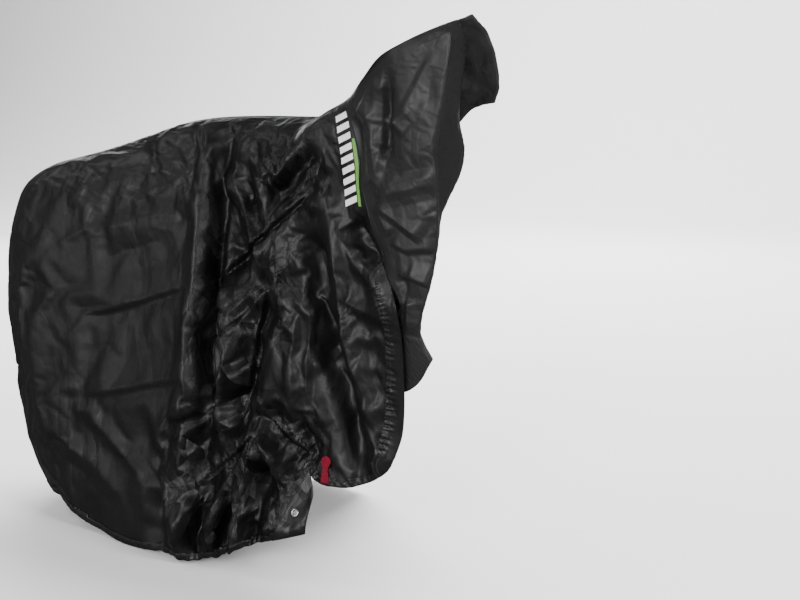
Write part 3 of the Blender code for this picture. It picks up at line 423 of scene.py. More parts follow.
HOOD_CREASES = [
    ("hood ridge", 9, 10, 0.9, [632, 829, 649, 913, 653, 1018, 654, 1066]),
    ("hood valley", 9, -11, 0.8, [671, 1060, 663, 953, 657, 880]),
    ("neck ridge", 13, 9, LAP, [574, 947, 605, 998, 636, 1045]),
    ("neck crease", 10, 6, 0.9, [560, 975, 600, 968, 631.5, 956]),
    ("pleat edge", 5.5, 6, LAP, [797, 1110, 795, 1070, 785, 999, 773, 944, 765, 920, 769, 856, 766, 814]),
    ("grip diagonal", 14, 6, LAP, [700, 962, 742, 1040, 774, 1090]),
    ("pucker 1", 7, 6, 0.9, [680, 950, 700, 963, 726, 980]),
    ("pucker 2", 7, 6, 0.9, [695, 957, 678, 955, 656, 945]),
    ("pucker 3", 7, 6, 0.9, [682, 960, 695, 948, 714, 932]),
    ("chest fall", 16, 4, LAP, [735, 870, 738, 940, 760, 1010]),
    ("waist fold 1", 8, 5.5, 0.9, [626, 818, 706, 847, 780, 862]),
    ("waist fold 2", 8, 5.5, 0.9, [626, 806, 700, 829, 778, 848]),
    ("star fall", 17, 12, LAP, [745, 736, 690, 768, 630, 800]),
    ("star drop", 10, 9, 0.9, [632, 800, 648, 770, 668, 735]),
    ("skirt cross fold", 12, 9, LAP, [768, 722, 704, 714, 664, 728]),
    ("skirt low fold", 11, 8, LAP, [756, 648, 716, 661.5, 676, 660]),
    ("skirt tick", 8, -7, 0.9, [683, 664, 700, 636, 709, 605]),
    ("skirt fall", 13, 8, LAP, [694, 540, 704, 620, 722, 700]),
]

# %% [markdown]
# Between the main folds the cloth is crumpled all over. These small creases are scattered with a fixed seed
# in zones, each with its usual direction: across a gathered hem, down the skirt, nearly level on the tail.

# %% Scatter small creases in zones
CRUMPLE = [  # zone, angle, its spread, count,
    # then the middle (ahead, height), half its width and height, length, width, rise
    ("tail", 14, 36, 20, -130, 520, 280, 300, 150, 15, 2.4),
    ("low tail", -35, 30, 20, -80, 200, 260, 160, 130, 15, 3.4),
    ("over the rack", 20, 30, 12, -100, 800, 250, 60, 120, 13, 2.6),
    ("saddle skirt", 76, 30, 28, 320, 580, 140, 260, 130, 12, 4.6),
    ("beside the saddle", 55, 40, 14, 300, 860, 170, 60, 90, 11, 4),
    ("bundle", 72, 30, 40, 310, 180, 170, 150, 100, 10, 5.2),
    ("front hem", 8, 20, 44, 620, 420, 70, 200, 50, 6, 2.2),
    ("front skirt", 80, 24, 8, 500, 420, 50, 200, 110, 12, 2.4),
    ("hood", 66, 44, 9, 700, 950, 100, 150, 100, 12, 1.8),
    ("hood skirt", 78, 26, 6, 710, 680, 60, 160, 100, 11, 2),
]
SMALL_SHARP = 0.9    # sharpness of a small crease
SMALL_BEND = 0.22    # how far its middle strays, as a share of its half length
OUTWARD = 0.62       # share of them that stand out


def scattered(zones):
    creases = []
    for _, angle, spread, count, *sizes in zones:
        x, height, half_x, half_h, length, width, rise = metres(*sizes)
        for _ in range(count):
            middle = np.array([x, height]) + rng.uniform(-1, 1, 2) * (half_x, half_h)
            turn = math.radians(angle + rng.normal() * spread)
            reach = np.array([math.cos(turn), math.sin(turn)]) * length * rng.uniform(0.4, 1.1) / 2
            bend = np.array([-reach[1], reach[0]]) * rng.normal() * SMALL_BEND
            way = 1.0 if rng.random() < OUTWARD else -1.0
            creases.append((
                width * rng.uniform(0.7, 1.4), rise * way * rng.uniform(0.4, 1.3), SMALL_SHARP,
                np.array([middle - reach, middle + bend, middle + reach])))
    return creases


small_creases = scattered(CRUMPLE)
near_side = placed(REAR_CREASES + SADDLE_CREASES + BUNDLE_CREASES + FRONT_CREASES + HOOD_CREASES)
print(len(near_side), "placed creases,", len(small_creases), "scattered ones")

# %% [markdown]
# The creases fade out at the seams between the near side and the far side, so that those stay joined.
# Neighbouring panels share one field everywhere else, so the seams between them stay shut.

# %% Crease the near side
EYELET_PRESS = 0.014    # the cloth stays flat this far from the eyelet's middle
SEAM_FADE = 0.030       # creases come in over this length from a seam or the eyelet


def fade_from(co, line_points, near):
    """0 on a line of points and 1 away from it."""
    return smooth_step((distance_to(line_points, co) - near) / (SEAM_FADE - near))


hood_top = border_between(hood, NECK, (0.662, 1.078), GRIP_END)
seam_points = np.vstack([
    points_of(right_side.data)[right_top + right_rear], points_of(hood.data)[hood_top]])
eyelet_low, eyelet_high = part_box("eyelet")
eyelet_middle = np.array((eyelet_low + eyelet_high) / 2)


EDGE_ON, TO_SQUARE = 0.12, 0.35    # cloth that looks less to its side isn't creased, then ever more


def facing_share(mesh, facing):
    """How much each vertex looks to its side: 1 square to it, 0 edge on or turned in."""
    return smooth_step((normals_of(mesh)[:, 1] * facing - EDGE_ON) / TO_SQUARE)


def crease(obj, creases, facing, seam):
    co = points_of(obj.data)
    x, height = ahead_and_height(co)
    rise = raised(x, height, creases)
    rise *= fade_from(co, seam, 0.001)
    rise *= smooth_step((np.linalg.norm(co - eyelet_middle, axis=1) - EYELET_PRESS) / SEAM_FADE)
    rise *= facing_share(obj.data, facing)
    co[:, 1] += facing * rise
    set_points(obj.data, co)
    print(obj.name, "creased by up to", round(float(np.abs(rise).max()) * 1000, 1), "mm")


for piece in (right_side, hood, corner):
    crease(piece, near_side + small_creases, RIGHT, seam_points)

# %% [markdown]
# The far side carries less tension, so it gets long falls from the saddle and inside the flap at the grip,
# and its own scattered crumple.

# %% Crease the far side
FAR_CREASES = [
    ("fall behind the saddle", 18, 9, 0.8, [120, 900, 110, 600, 70, 250, 60, 60]),
    ("fall before the saddle", 18, 10, 0.8, [270, 890, 285, 600, 260, 300, 240, 60]),
    ("valley between", 22, -8, 0.5, [195, 880, 195, 500, 150, 100]),
    ("front fall", 16, 8, 0.8, [430, 900, 430, 620, 370, 280]),
    ("upper packing crease", 17, 5, 0.8, [-330, 680, -120, 700, 110, 730]),
    ("lower packing crease", 18, 5, 0.8, [-330, 400, -100, 370, 140, 390]),
    ("tail slant", 16, 5, 0.8, [-300, 250, -160, 180, 0, 120]),
    ("rack pull", 15, 6, 0.8, [-200, 780, -90, 720, 20, 700]),
    ("grip fall", 14, 6, 0.8, [640, 1030, 600, 900, 530, 760]),
    ("flap roll", 16, 5, 0.6, [790, 1100, 795, 1040, 785, 1000]),
]
FAR_CRUMPLE = [
    ("far tail", 20, 40, 44, -120, 480, 280, 360, 150, 15, 3.4),
    ("far middle", 82, 34, 50, 220, 500, 200, 380, 140, 14, 4.5),
    ("far grip", 60, 50, 22, 620, 980, 160, 140, 90, 11, 2.6),
]
top_of_left = border_between(left_side, SHOULDER, (0.1, 0.92), GRIP_END)
rear_of_left = border_between(left_side, SHOULDER, (-0.434, 0.50), REAR_FOOT)
far_seam = points_of(left_side.data)[top_of_left + rear_of_left]
crease(left_side, placed(FAR_CREASES) + scattered(FAR_CRUMPLE), LEFT, far_seam)

# %% [markdown]
# How crushed the cloth is, is kept as one number for each vertex, for the cloth run and the finish to read.

# %% Paint how crushed the cloth is
FULL_CRUSH = 0.5
CRUSHED = [  # share, then the middle (ahead, height), half its width and height
    (0.5, 310, 200, 170, 200), (0.4, 300, 580, 120, 260), (0.36, 380, 820, 120, 90),
    (0.16, -50, 760, 250, 70), (0.16, -200, 200, 200, 150), (0.14, 660, 900, 120, 160),
    (0.16, 600, 450, 70, 220)]


def paint_crush(obj, least):
    x, height = ahead_and_height(points_of(obj.data))
    share = np.full(len(x), least)
    for most, *sizes in CRUSHED:
        ahead, high, half_x, half_h = metres(*sizes)
        away = np.hypot((x - ahead) / half_x, (height - high) / half_h)
        share = np.maximum(share, most * smooth_step(1.6 - away))
    obj.data.attributes.new("crush", "FLOAT", "POINT").data.foreach_set("value", share.astype(np.float32))
    print(obj.name, "crushed", round(float(share.mean()), 2), "on average")


for piece, least in ((right_side, 0.09), (hood, 0.12), (left_side, 0.20), (corner, 0.22)):
    paint_crush(piece, least)

# %% [markdown]
# Thin nylon also buckles by itself wherever there is more of it than it needs. So each panel is run as
# cloth for a few frames: its springs are made a little too long, more so where it is crushed, while every
# vertex is tied softly to its place and the seams are tied fast. Nothing falls or collides, so the run is
# short and always gives the same result.

# %% Let the cloth buckle
CLOTH = {
    "quality": 4, "mass": 0.15, "air_damping": 4.0, "tension_stiffness": 25.0,
    "compression_stiffness": 25.0, "shear_stiffness": 12.0, "bending_stiffness": 1.2,
    "vertex_group_mass": "held", "pin_stiffness": 1.0, "vertex_group_shrink": "smooth",
}


def buckled(obj, seam, most, hold, frames):
    """Run a sheet as cloth: up to most longer, tied to its place by hold, for some frames."""
    co = points_of(obj.data)
    crush = read(obj.data.attributes["crush"].data, "value", kind=np.float32)
    free = fade_from(co, seam, 0.004)
    held = obj.vertex_groups.new(name="held")
    slack = obj.vertex_groups.new(name="smooth")
    for k, (tied, crushed) in enumerate(zip(1 - (1 - hold) * free, np.clip(crush / FULL_CRUSH, 0, 1))):
        held.add([k], float(tied), "REPLACE")
        slack.add([k], float(1 - crushed), "REPLACE")
    run = obj.modifiers.new("buckle", "CLOTH")
    for setting, value in CLOTH.items():
        setattr(run.settings, setting, value)
    run.settings.shrink_min, run.settings.shrink_max = -most, -0.25 * most
    run.settings.effector_weights.gravity = 0.0
    run.collision_settings.use_collision = False
    run.point_cache.frame_start = 1
    run.point_cache.frame_end = frames
    for now in range(1, frames + 1):
        bpy.context.scene.frame_set(now)
    mesh = applied(obj)
    bpy.context.scene.frame_set(1)
    moved = np.linalg.norm(points_of(mesh) - co, axis=1)
    print(obj.name, "buckled by up to", round(float(moved.max()) * 1000, 1), "mm")


front_seam_line = border_between(right_side, NECK, (0.586, 0.845), POCKET)
corner_seam_line = border_between(right_side, CORNER_FOOT, (0.440, 0.160), CORNER_HEAD)
near_seams = np.vstack([seam_points, points_of(right_side.data)[front_seam_line + corner_seam_line]])
buckled(right_side, near_seams, 0.055, 0.08, 8)
buckled(hood, near_seams, 0.018, 0.18, 8)
buckled(left_side, far_seam, 0.03, 0.20, 7)

# %% [markdown]
# ## Hems
# A hem is the cloth turned under twice and sewn: a band of three layers with a line of stitches. It is made
# from the cells along the sheet's own border, copied, lifted a little and given a wall. The front hem is a
# casing for elastic, so its band is wider, split finer and puckered more.

# %% Make a hem band from border cells
UV_SCALE = 10.0    # units of the bands' UV map in a metre
CREST = 0.24       # how wide the most puckered strip is, as a share of the band


def hem_band(name, sheet, ends, pucker, pitch, reach=0.016, lift=0.0008, wall=NYLON, cuts=1, crest=0.5):
    """A band of cloth over a border, as wide as reach and puckered across most at its crest."""
    edge = points_of(sheet.data)[border_between(sheet, *ends)]
    middles = np.array([p.center for p in sheet.data.polygons])
    chosen = distance_to(edge, middles) < reach
    bm = bmesh.new()
    bm.from_mesh(sheet.data)
    bmesh.ops.delete(bm, geom=[f for f in bm.faces if not chosen[f.index]], context="FACES")
    bmesh.ops.subdivide_edges(bm, edges=bm.edges[:], cuts=cuts, use_grid_fill=True, smooth=0.0)
    bm.normal_update()
    run = run_along(edge)
    uv = bm.loops.layers.uv.new("along")
    places = {}
    for v in bm.verts:
        away = np.linalg.norm(edge - np.array(v.co), axis=1)
        k = int(np.argmin(away))
        places[v] = (run[k], float(away[k]))
    for v, (s, away) in places.items():
        gathered = math.exp(-((away / reach - crest) / CREST) ** 2)
        wave = math.sin(2 * math.pi * s / pitch + 1.7 * math.sin(s * 37.0))
        v.co += v.normal * (lift + pucker * gathered * wave)
    for face in bm.faces:
        for loop in face.loops:
            s, away = places[loop.vert]
            loop[uv].uv = (s * UV_SCALE, away * UV_SCALE)
    band = new_object(name, bm)
    wall_of = band.modifiers.new("wall", "SOLIDIFY")
    wall_of.thickness = wall
    wall_of.offset = 0.0
    print(name, round(float(run[-1]), 2), "m long,", len(band.data.polygons), "cells")
    return band


def ruffled(obj, line, reach, amount, start, stop):
    """Let a hem wander up and down between two places ahead."""
    co = points_of(obj.data)
    edge = co[line]
    run = run_along(edge)
    near = np.nonzero(co[:, 2] < edge[:, 2].max() + reach)[0]
    away = np.linalg.norm(co[near][:, None] - edge[None], axis=2)
    s = run[away.argmin(axis=1)]
    ahead, _ = ahead_and_height(co[near])
    share = smooth_step(1 - away.min(axis=1) / reach)
    share *= smooth_step((ahead - start) / 0.06) * smooth_step((stop - ahead) / 0.05)
    slow = np.sin(2 * np.pi * s / 0.060 + 1.3 * np.sin(31 * s))
    quick = np.sin(2 * np.pi * s / 0.026 + np.sin(17 * s))
    co[near, 2] += amount * share * (slow + 0.5 * quick)
    set_points(obj.data, co)


right_foot = (REAR_FOOT, (0.128, 0.019), CORNER_FOOT)
ruffled(right_side, border_between(right_side, *right_foot), 0.060, 0.0022, 0.08, 0.44)
right_hem = hem_band("right_foot_hem", right_side, right_foot, pucker=0.0010, pitch=0.028)
front_foot_hem = hem_band("front_foot_hem", right_side, (CORNER_HEAD, (0.557, 0.212), FRONT_CORNER),
                          pucker=0.0012, pitch=0.016)
casing = hem_band("front_casing", right_side, (FRONT_CORNER, (0.687, 0.432), POCKET),
                  pucker=0.0019, pitch=0.014, reach=0.042, lift=0.0016, wall=0.0016, cuts=2, crest=0.80)
left_hem = hem_band("left_foot_hem", left_side, (REAR_FOOT, (0.080, 0.012), (0.360, 0.040)),
                    pucker=0.0010, pitch=0.028)
flap_hem = hem_band("flap_hem", left_side, ((0.808, 1.149), (0.821, 1.028), (0.762, 0.974)),
                    pucker=0.0008, pitch=0.020, reach=0.014)

# %% [markdown]
# ## Seams
# The panels are joined by felled seams, seen from outside as a low rounded cord of cloth. A curve with a
# small round bevel follows the panel's border and is made a mesh.

# %% Lay a seam roll along a border
def seam_roll(name, mesh, line, radius, into):
    co = points_of(mesh)[line] - normals_of(mesh)[line] * into
    for _ in range(2):
        co[1:-1] = (co[:-2] + 2 * co[1:-1] + co[2:]) / 4
    curve = bpy.data.curves.new(name, "CURVE")
    curve.dimensions = "3D"
    curve.bevel_depth = radius
    curve.bevel_resolution = 2
    curve.use_fill_caps = True
    spline = curve.splines.new("POLY")
    spline.points.add(len(co) - 1)
    spline.points.foreach_set("co", np.c_[co, np.ones(len(co))].ravel())
    draft = linked(name, curve)
    mesh = bpy.data.meshes.new_from_object(draft.evaluated_get(bpy.context.evaluated_depsgraph_get()))
    bpy.data.objects.remove(draft)
    print(name, len(mesh.polygons), "cells")
    return new_object(name, mesh)


seams = [
    seam_roll("top_seam", right_side.data, right_top, 0.0014, 0.0006),
    seam_roll("rear_seam", right_side.data, right_rear, 0.0014, 0.0006),
    seam_roll("hood_top_seam", hood.data, hood_top, 0.0014, 0.0006),
    seam_roll("hood_side_seam", right_side.data, front_seam_line, 0.0015, 0.0004),
    seam_roll("corner_seam", right_side.data, corner_seam_line, 0.0013, 0.0006),
]

# %% [markdown]
# ## Give the cloth its wall
# Solidify turns each fine sheet into thin closed cloth, inwards from the outer face, so the outline stays
# where the solid has it.

# %% Thicken the cloth
for piece, wall in ((right_side, NYLON), (hood, NYLON), (left_side, NYLON), (corner, CORNER_WALL)):
    thick = piece.modifiers.new("wall", "SOLIDIFY")
    thick.thickness = wall
    thick.offset = -1.0

# %% [markdown]
# ## The eyelet and the tab
# The eyelet is a short barrel with a flange rolled over each side of the cloth. Its section is spun full
# circle, and turned to the direction that its solid faces.

# %% Spin the eyelet
def direction_of(node):
    """The direction in which a thin solid is thinnest."""
    co = points_of(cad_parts[node].data)
    spread = np.linalg.eigh(np.cov((co - co.mean(axis=0)).T))
    return Vector(spread[1][:, 0])


def spun_ring(name, section, middle, axis):
    bm = bmesh.new()
    ring = [bm.verts.new((r, 0.0, z)) for r, z in section]
    edges = [bm.edges.new((a, b)) for a, b in zip(ring, ring[1:] + ring[:1])]
    bmesh.ops.spin(
        bm, geom=ring + edges, cent=(0, 0, 0), axis=(0, 0, 1), dvec=(0, 0, 0),
        angle=2 * math.pi, steps=48, use_merge=True, use_duplicate=False)
    bmesh.ops.recalc_face_normals(bm, faces=bm.faces[:])
    turn = Vector((0, 0, 1)).rotation_difference(axis).to_matrix().to_4x4()
    bmesh.ops.transform(bm, matrix=Matrix.Translation(middle) @ turn, verts=bm.verts[:])
    return new_object(name, bm)


EYELET_SECTION = [  # radius, height along the eyelet
    (0.0050, -0.0016), (0.0050, 0.0016), (0.0053, 0.0022), (0.0062, 0.0026), (0.0074, 0.0024),
    (0.0084, 0.0017), (0.0086, 0.0012), (0.0080, 0.0012), (0.0062, 0.0014), (0.0060, -0.0014),
    (0.0080, -0.0012), (0.0086, -0.0012), (0.0084, -0.0017), (0.0074, -0.0024), (0.0062, -0.0026),
    (0.0053, -0.0022)]
eyelet_axis = direction_of("eyelet")
if eyelet_axis.y > 0:
    eyelet_axis = -eyelet_axis
eyelet = spun_ring("eyelet_ring", EYELET_SECTION, Vector(eyelet_middle), eyelet_axis)
print("eyelet faces", [round(v, 2) for v in eyelet_axis])

# %% [markdown]
# The red tab is folded webbing caught in the front hem. A copy of its solid is merged and rounded.

# %% Soften the tab
bm = bmesh.new()
bm.from_mesh(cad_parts["red_tab"].data)
bmesh.ops.remove_doubles(bm, verts=bm.verts, dist=SAME)
bmesh.ops.join_triangles(bm, faces=bm.faces[:], angle_face_threshold=0.6, angle_shape_threshold=math.pi)
bmesh.ops.subdivide_edges(bm, edges=bm.edges[:], cuts=3, use_grid_fill=True, smooth=0.0)
heights = [v.co.z for v in bm.verts]
foot, head = min(heights), max(heights)
across = sum(v.co.x for v in bm.verts) / len(bm.verts)
TAB_HEIGHTS = [0.0, 0.30, 0.50, 0.62, 0.80, 1.0]    # shares of its height, from the foot up
TAB_WIDTHS = [1.15, 0.95, 0.60, 0.95, 1.25, 1.0]    # shares of the solid's width there
TAB_SWAY = 0.0012    # how far it bends to and fro
for v in bm.verts:
    t = (v.co.z - foot) / (head - foot)
    share = float(np.interp(t, TAB_HEIGHTS, TAB_WIDTHS))
    v.co.x = across + (v.co.x - across) * share + TAB_SWAY * math.sin(9.0 * t) * (1 - t)
    v.co.y -= TAB_SWAY * math.sin(11.0 * t) * (1 - t)
tab = new_object("red_marker_tab", bm)
rounder = tab.modifiers.new("rounder", "SUBSURF")
rounder.levels = rounder.render_levels = 2

# %% [markdown]
# ## Materials
# Shader sums read like ordinary sums when a socket is wrapped in a small class that can be added,
# multiplied and compared. `Finish` makes one material and adds its nodes.

# %% Write shader sums as expressions
class Value:
    """A shader socket that can stand in a sum."""

    def __init__(self, finish, socket):
        self.finish, self.socket = finish, socket


def summing(operation):
    return lambda value, other: value.finish.math(operation, value, other)


for signs, operation in (("add radd", "ADD"), ("sub", "SUBTRACT"), ("mul rmul", "MULTIPLY"),
                         ("truediv", "DIVIDE"), ("lt", "LESS_THAN"), ("gt", "GREATER_THAN")):
    for sign in signs.split():
        setattr(Value, f"__{sign}__", summing(operation))


class Finish:
    """One material: constants go straight on its shader, everything else through nodes."""

    def __init__(self, name, **fixed):
        self.material = bpy.data.materials.new(name)
        self.material.use_nodes = True
        self.tree = self.material.node_tree
        self.shader = self.tree.nodes["Principled BSDF"]
        for socket, value in fixed.items():
            self.shader.inputs[socket.replace("_", " ")].default_value = value

    def join(self, socket, item):
        if isinstance(item, Value):
            self.tree.links.new(item.socket, socket)
        else:
            socket.default_value = item

    def node(self, kind, settings=None, output=0, **sockets):
        node = self.tree.nodes.new(kind)
        for setting, value in (settings or {}).items():
            setattr(node, setting, value)
        for socket, item in sockets.items():
            self.join(node.inputs[socket.replace("_", " ")], item)
        return Value(self, node.outputs[output])

    def math(self, operation, *items, kind="ShaderNodeMath", output=0):
        node = self.tree.nodes.new(kind)
        node.operation = operation
        for socket, item in zip(node.inputs, items):
            self.join(socket, item)
        return Value(self, node.outputs[output])

    def vector(self, operation, *items, output="Vector"):
        return self.math(operation, *items, kind="ShaderNodeVectorMath", output=output)

    def colours(self, share, first, second):
        node = self.tree.nodes.new("ShaderNodeMix")
        node.data_type = "RGBA"
        self.join(node.inputs[0], share)
        self.join(node.inputs[6], first)
        self.join(node.inputs[7], second)
        return Value(self, node.outputs[2])

    def place(self):
        return self.node("ShaderNodeTexCoord", output="Object")

    def parts_of(self, vector):
        node = self.tree.nodes.new("ShaderNodeSeparateXYZ")
        self.join(node.inputs[0], vector)
        return [Value(self, out) for out in node.outputs]

    def shade(self, socket, item):
        self.join(self.shader.inputs[socket], item)

    def rising(self, item, low, high):
        """0 up to low and 1 past high."""
        return self.node("ShaderNodeMapRange", {"interpolation_type": "SMOOTHSTEP"},
                         Value=item, From_Min=low, From_Max=high)

    def bumped(self, height, distance, strength, below=None):
        sockets = {"Height": height, "Distance": distance, "Strength": strength}
        if below is not None:
            sockets["Normal"] = below
        return self.node("ShaderNodeBump", **sockets)


# %% [markdown]
# ### Coated nylon
# The cloth is nearly black, and what is seen of it is gloss: each small flat facet catches the light or
# loses it. Distance to the edge of a Voronoi cell is a little roof over each cell, so three such patterns,
# added, give crisp straight creases. In two more patterns each cell is a facet that leans its own way. The
# crush painted on each sheet says how much of them shows. A fine square weave lies on top.

# %% Make the nylon
THREADS = 5200.0    # how fast the weave's sine runs, in radians a metre


def turned_place(finish, place, turn, stretch):
    return finish.node("ShaderNodeMapping", Vector=place, Scale=stretch, Rotation=(0.0, turn, 0.0))


def facets(finish, place, turn, stretch, scale):
    """Height of one pattern of roofs, each about one over its scale across."""
    turned = turned_place(finish, place, turn, stretch)
    return finish.node(
        "ShaderNodeTexVoronoi", {"feature": "DISTANCE_TO_EDGE"}, Vector=turned, Scale=scale) / scale


def leaning(finish, place, turn, stretch, scale):
    """Height of one pattern of flat facets: each cell leans its own random way."""
    turned = turned_place(finish, place, turn, stretch)
    cells = [finish.node("ShaderNodeTexVoronoi", output=out, Vector=turned, Scale=scale)
             for out in ("Position", "Color")]
    away = finish.vector("SUBTRACT", turned, cells[0])
    lean = finish.vector("SUBTRACT", cells[1], (0.5, 0.5, 0.5))
    return finish.vector("DOT_PRODUCT", away, lean, output="Value")


def nylon(name, colour, roughness, crinkle=1.0):
    finish = Finish(name)
    place = finish.place()
    slow = finish.node("ShaderNodeTexNoise", Vector=place, Scale=6.0, Detail=2.0, Roughness=0.5)
    bend = finish.node("ShaderNodeTexNoise", output="Color", Vector=place, Scale=5.0, Detail=1.0)
    bent = finish.vector("ADD", place, finish.node(
        "ShaderNodeVectorMath", {"operation": "SCALE"}, Vector=bend, Scale=0.12))
    crush = finish.node("ShaderNodeAttribute", {"attribute_name": "crush"}, output="Fac")
    wide = facets(finish, bent, 0.35, (1.6, 1.0, 0.8), 5.5)
    middle = facets(finish, bent, -0.55, (1.7, 1.0, 0.8), 11.0)
    small = facets(finish, bent, 1.0, (1.3, 1.0, 0.9), 27.0)
    ripple = finish.node("ShaderNodeTexNoise", Vector=bent, Scale=26.0, Detail=3.0, Roughness=0.5)
    crumpled = (wide * 0.60 + middle * (slow * 0.8 + 0.15)) * crush + small * slow * crush * 0.45
    pressed = leaning(finish, bent, 0.35, (1.6, 1.0, 0.8), 8.0) * 3.8
    pressed = pressed + leaning(finish, bent, -0.5, (1.5, 1.0, 0.9), 19.0) * 3.0
    crumpled = (crumpled * 0.55 + pressed * crush * crush + ripple * 0.0007) * crinkle
    x, _, z = finish.parts_of(place)
    threads = finish.math("SINE", x * THREADS) * finish.math("SINE", z * THREADS)
    normal = finish.bumped(crumpled, 1.0, 1.0)
    finish.cloth_normal = finish.bumped(threads, 0.00003, 0.4, below=normal)
    finish.shade("Normal", finish.cloth_normal)
    light = tuple(min(1.0, c * 1.6) for c in colour)
    finish.base = finish.colours(slow, (*colour, 1.0), (*light, 1.0))
    finish.shade("Base Color", finish.base)
    finish.shade("Roughness", slow * 0.12 + (roughness - 0.06))
    finish.shader.inputs["Specular IOR Level"].default_value = 0.32
    return finish


# %% [markdown]
# ### The printed band
# Beside the seam at the neck is a small print: a plain row of slanted white bars with a green line beside
# it, drawn by sums on the place.

# %% Print slanted bars on the cloth
BAND_HEAD = np.array([0.5330, 0.962])
BAND_FOOT = np.array([0.5670, 0.780])
BAND_HALF = 0.019
BARS = 9.0
BAR_SHARE = 0.60    # white share of a bar and the gap after it
BAR_SLANT = 0.22    # of a bar, over half the band's width


def print_band(finish):
    along = BAND_FOOT - BAND_HEAD
    length = float(np.hypot(*along))
    ux, uz = along / length
    x, y, z = finish.parts_of(finish.place())
    x = x + float(SADDLE_TOP[0] - BAND_HEAD[0])
    z = z + float(SADDLE_TOP[2] - BAND_HEAD[1])
    down = (x * float(ux) + z * float(uz)) / length
    across = (x * float(-uz) + z * float(ux)) / BAND_HALF
    row = down * BARS + across * BAR_SLANT
    shown = y < 0.0
    bars = (finish.math("FRACT", row) < BAR_SHARE) * (row > 0.0) * (row < BARS)
    white = shown * bars * (finish.math("ABSOLUTE", across) < 0.86)
    green = shown * (down > 0.28) * (down < 0.99) * (across > 0.98) * (across < 1.36)
    colour = finish.colours(green, finish.base, (0.10, 0.28, 0.03, 1.0))
    colour = finish.colours(white, colour, (0.72, 0.72, 0.71, 1.0))
    finish.shade("Base Color", colour)


SIDE_BLACK = (0.0026, 0.0026, 0.0029)
HOOD_BLACK = (0.0080, 0.0080, 0.0086)
TRIM_BLACK = (0.0040, 0.0040, 0.0043)
side_nylon = nylon("side nylon", SIDE_BLACK, 0.47)
hood_nylon = nylon("hood nylon", HOOD_BLACK, 0.47, 0.6)
far_nylon = nylon("far side nylon", SIDE_BLACK, 0.47)
corner_nylon = nylon("corner nylon", TRIM_BLACK, 0.40, 0.6)
print_band(side_nylon)

# %% [markdown]
# The loose corner inside the grip looks down at the pale floor, which the cloth's gloss doesn't see here.
# So its colour is raised a little, to the grey that the floor would give it.

# %% Lighten the loose corner
x, _, z = far_nylon.parts_of(far_nylon.place())
at_corner = far_nylon.rising(x, 0.42, 0.50) * far_nylon.rising(z, -0.06, 0.04)
far_nylon.shade("Base Color", far_nylon.colours(at_corner, far_nylon.base, (0.020, 0.020, 0.021, 1.0)))

# %% [markdown]
# ### Hems, seams, metal and webbing
# The hem bands carry a stitch line on their own UV map, which runs along and across each band. Stitches
# are short dashes, a little lighter and sunk into the cloth.

# %% Make the other finishes
STITCH = 0.0040         # from one stitch to the next
STITCH_SHARE = 0.62     # share of that which is thread
STITCH_HALF = 0.0060    # half the stitch line's width, in units of the UV map


def hem_cloth(name, rows):
    finish = nylon(name, TRIM_BLACK, 0.40, 0.5)
    place = finish.node("ShaderNodeUVMap", {"uv_map": "along"})
    s, across, _ = finish.parts_of(place)
    dash = finish.math("FRACT", s * (0.1 / STITCH)) < STITCH_SHARE
    stitched = None
    for row in rows:
        line = finish.math("ABSOLUTE", across - row * UV_SCALE) < STITCH_HALF
        stitched = line if stitched is None else finish.math("MAXIMUM", stitched, line)
    stitches = stitched * dash
    finish.shade("Base Color", finish.colours(stitches, finish.base, (0.022, 0.022, 0.023, 1.0)))
    finish.shade("Normal", finish.bumped(
        stitched * -1.0 + stitches * 0.7, 0.0006, 0.8, below=finish.cloth_normal))
    return finish


foot_hem_cloth = hem_cloth("foot hem cloth", [0.0115])
casing_cloth = hem_cloth("casing cloth", [0.0290, 0.0370])
seam_cloth = nylon("seam cloth", TRIM_BLACK, 0.42, 0.3)

eyelet_metal = Finish("eyelet metal", Metallic=1.0)
worn = eyelet_metal.node("ShaderNodeTexNoise", Vector=eyelet_metal.place(), Scale=420.0, Detail=3.0)
eyelet_metal.shade("Base Color", eyelet_metal.colours(worn, (0.34, 0.34, 0.34, 1), (0.48, 0.48, 0.47, 1)))
eyelet_metal.shade("Roughness", 0.24 + worn * 0.14)

webbing = Finish("red webbing", Specular_IOR_Level=0.15)
x, _, z = webbing.parts_of(webbing.place())
weft = webbing.math("SINE", z * 4200.0)
warp_threads = webbing.math("SINE", x * 3600.0 + z * 2600.0)
webbing.shade("Base Color", webbing.colours(
    weft * 0.25 + 0.5, (0.095, 0.0, 0.007, 1), (0.155, 0.0, 0.013, 1)))
webbing.shade("Roughness", 0.62 + warp_threads * 0.05)
webbing.shade("Normal", webbing.bumped(weft + warp_threads, 0.00012, 0.6))

for piece, finish in (
    (right_side, side_nylon), (hood, hood_nylon), (left_side, far_nylon), (corner, corner_nylon),
    (right_hem, foot_hem_cloth), (front_foot_hem, foot_hem_cloth), (casing, casing_cloth),
    (left_hem, foot_hem_cloth), (flap_hem, foot_hem_cloth), (eyelet, eyelet_metal), (tab, webbing),
    *((seam, seam_cloth) for seam in seams),
):
    piece.data.materials.clear()
    piece.data.materials.append(finish.material)

# %% [markdown]
# ## Join everything to the frame
# Each piece rides on the part's one body, and one that stands for a solid replaces it: the solid is hidden.

for piece, node, slot in (
    (right_side, "right_panel", "side_nylon"), (hood, "hood_panel", "hood_nylon"),
    (left_side, "left_panel", "far_side_nylon"), (corner, "eyelet_patch", "corner_nylon"),
    (eyelet, "eyelet", "eyelet_metal"), (tab, "red_tab", "tab_fabric"),
):
    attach(piece, "root")
    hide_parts(node)
for piece in (right_hem, front_foot_hem, casing, left_hem, flap_hem, *seams):
    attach(piece, "root")

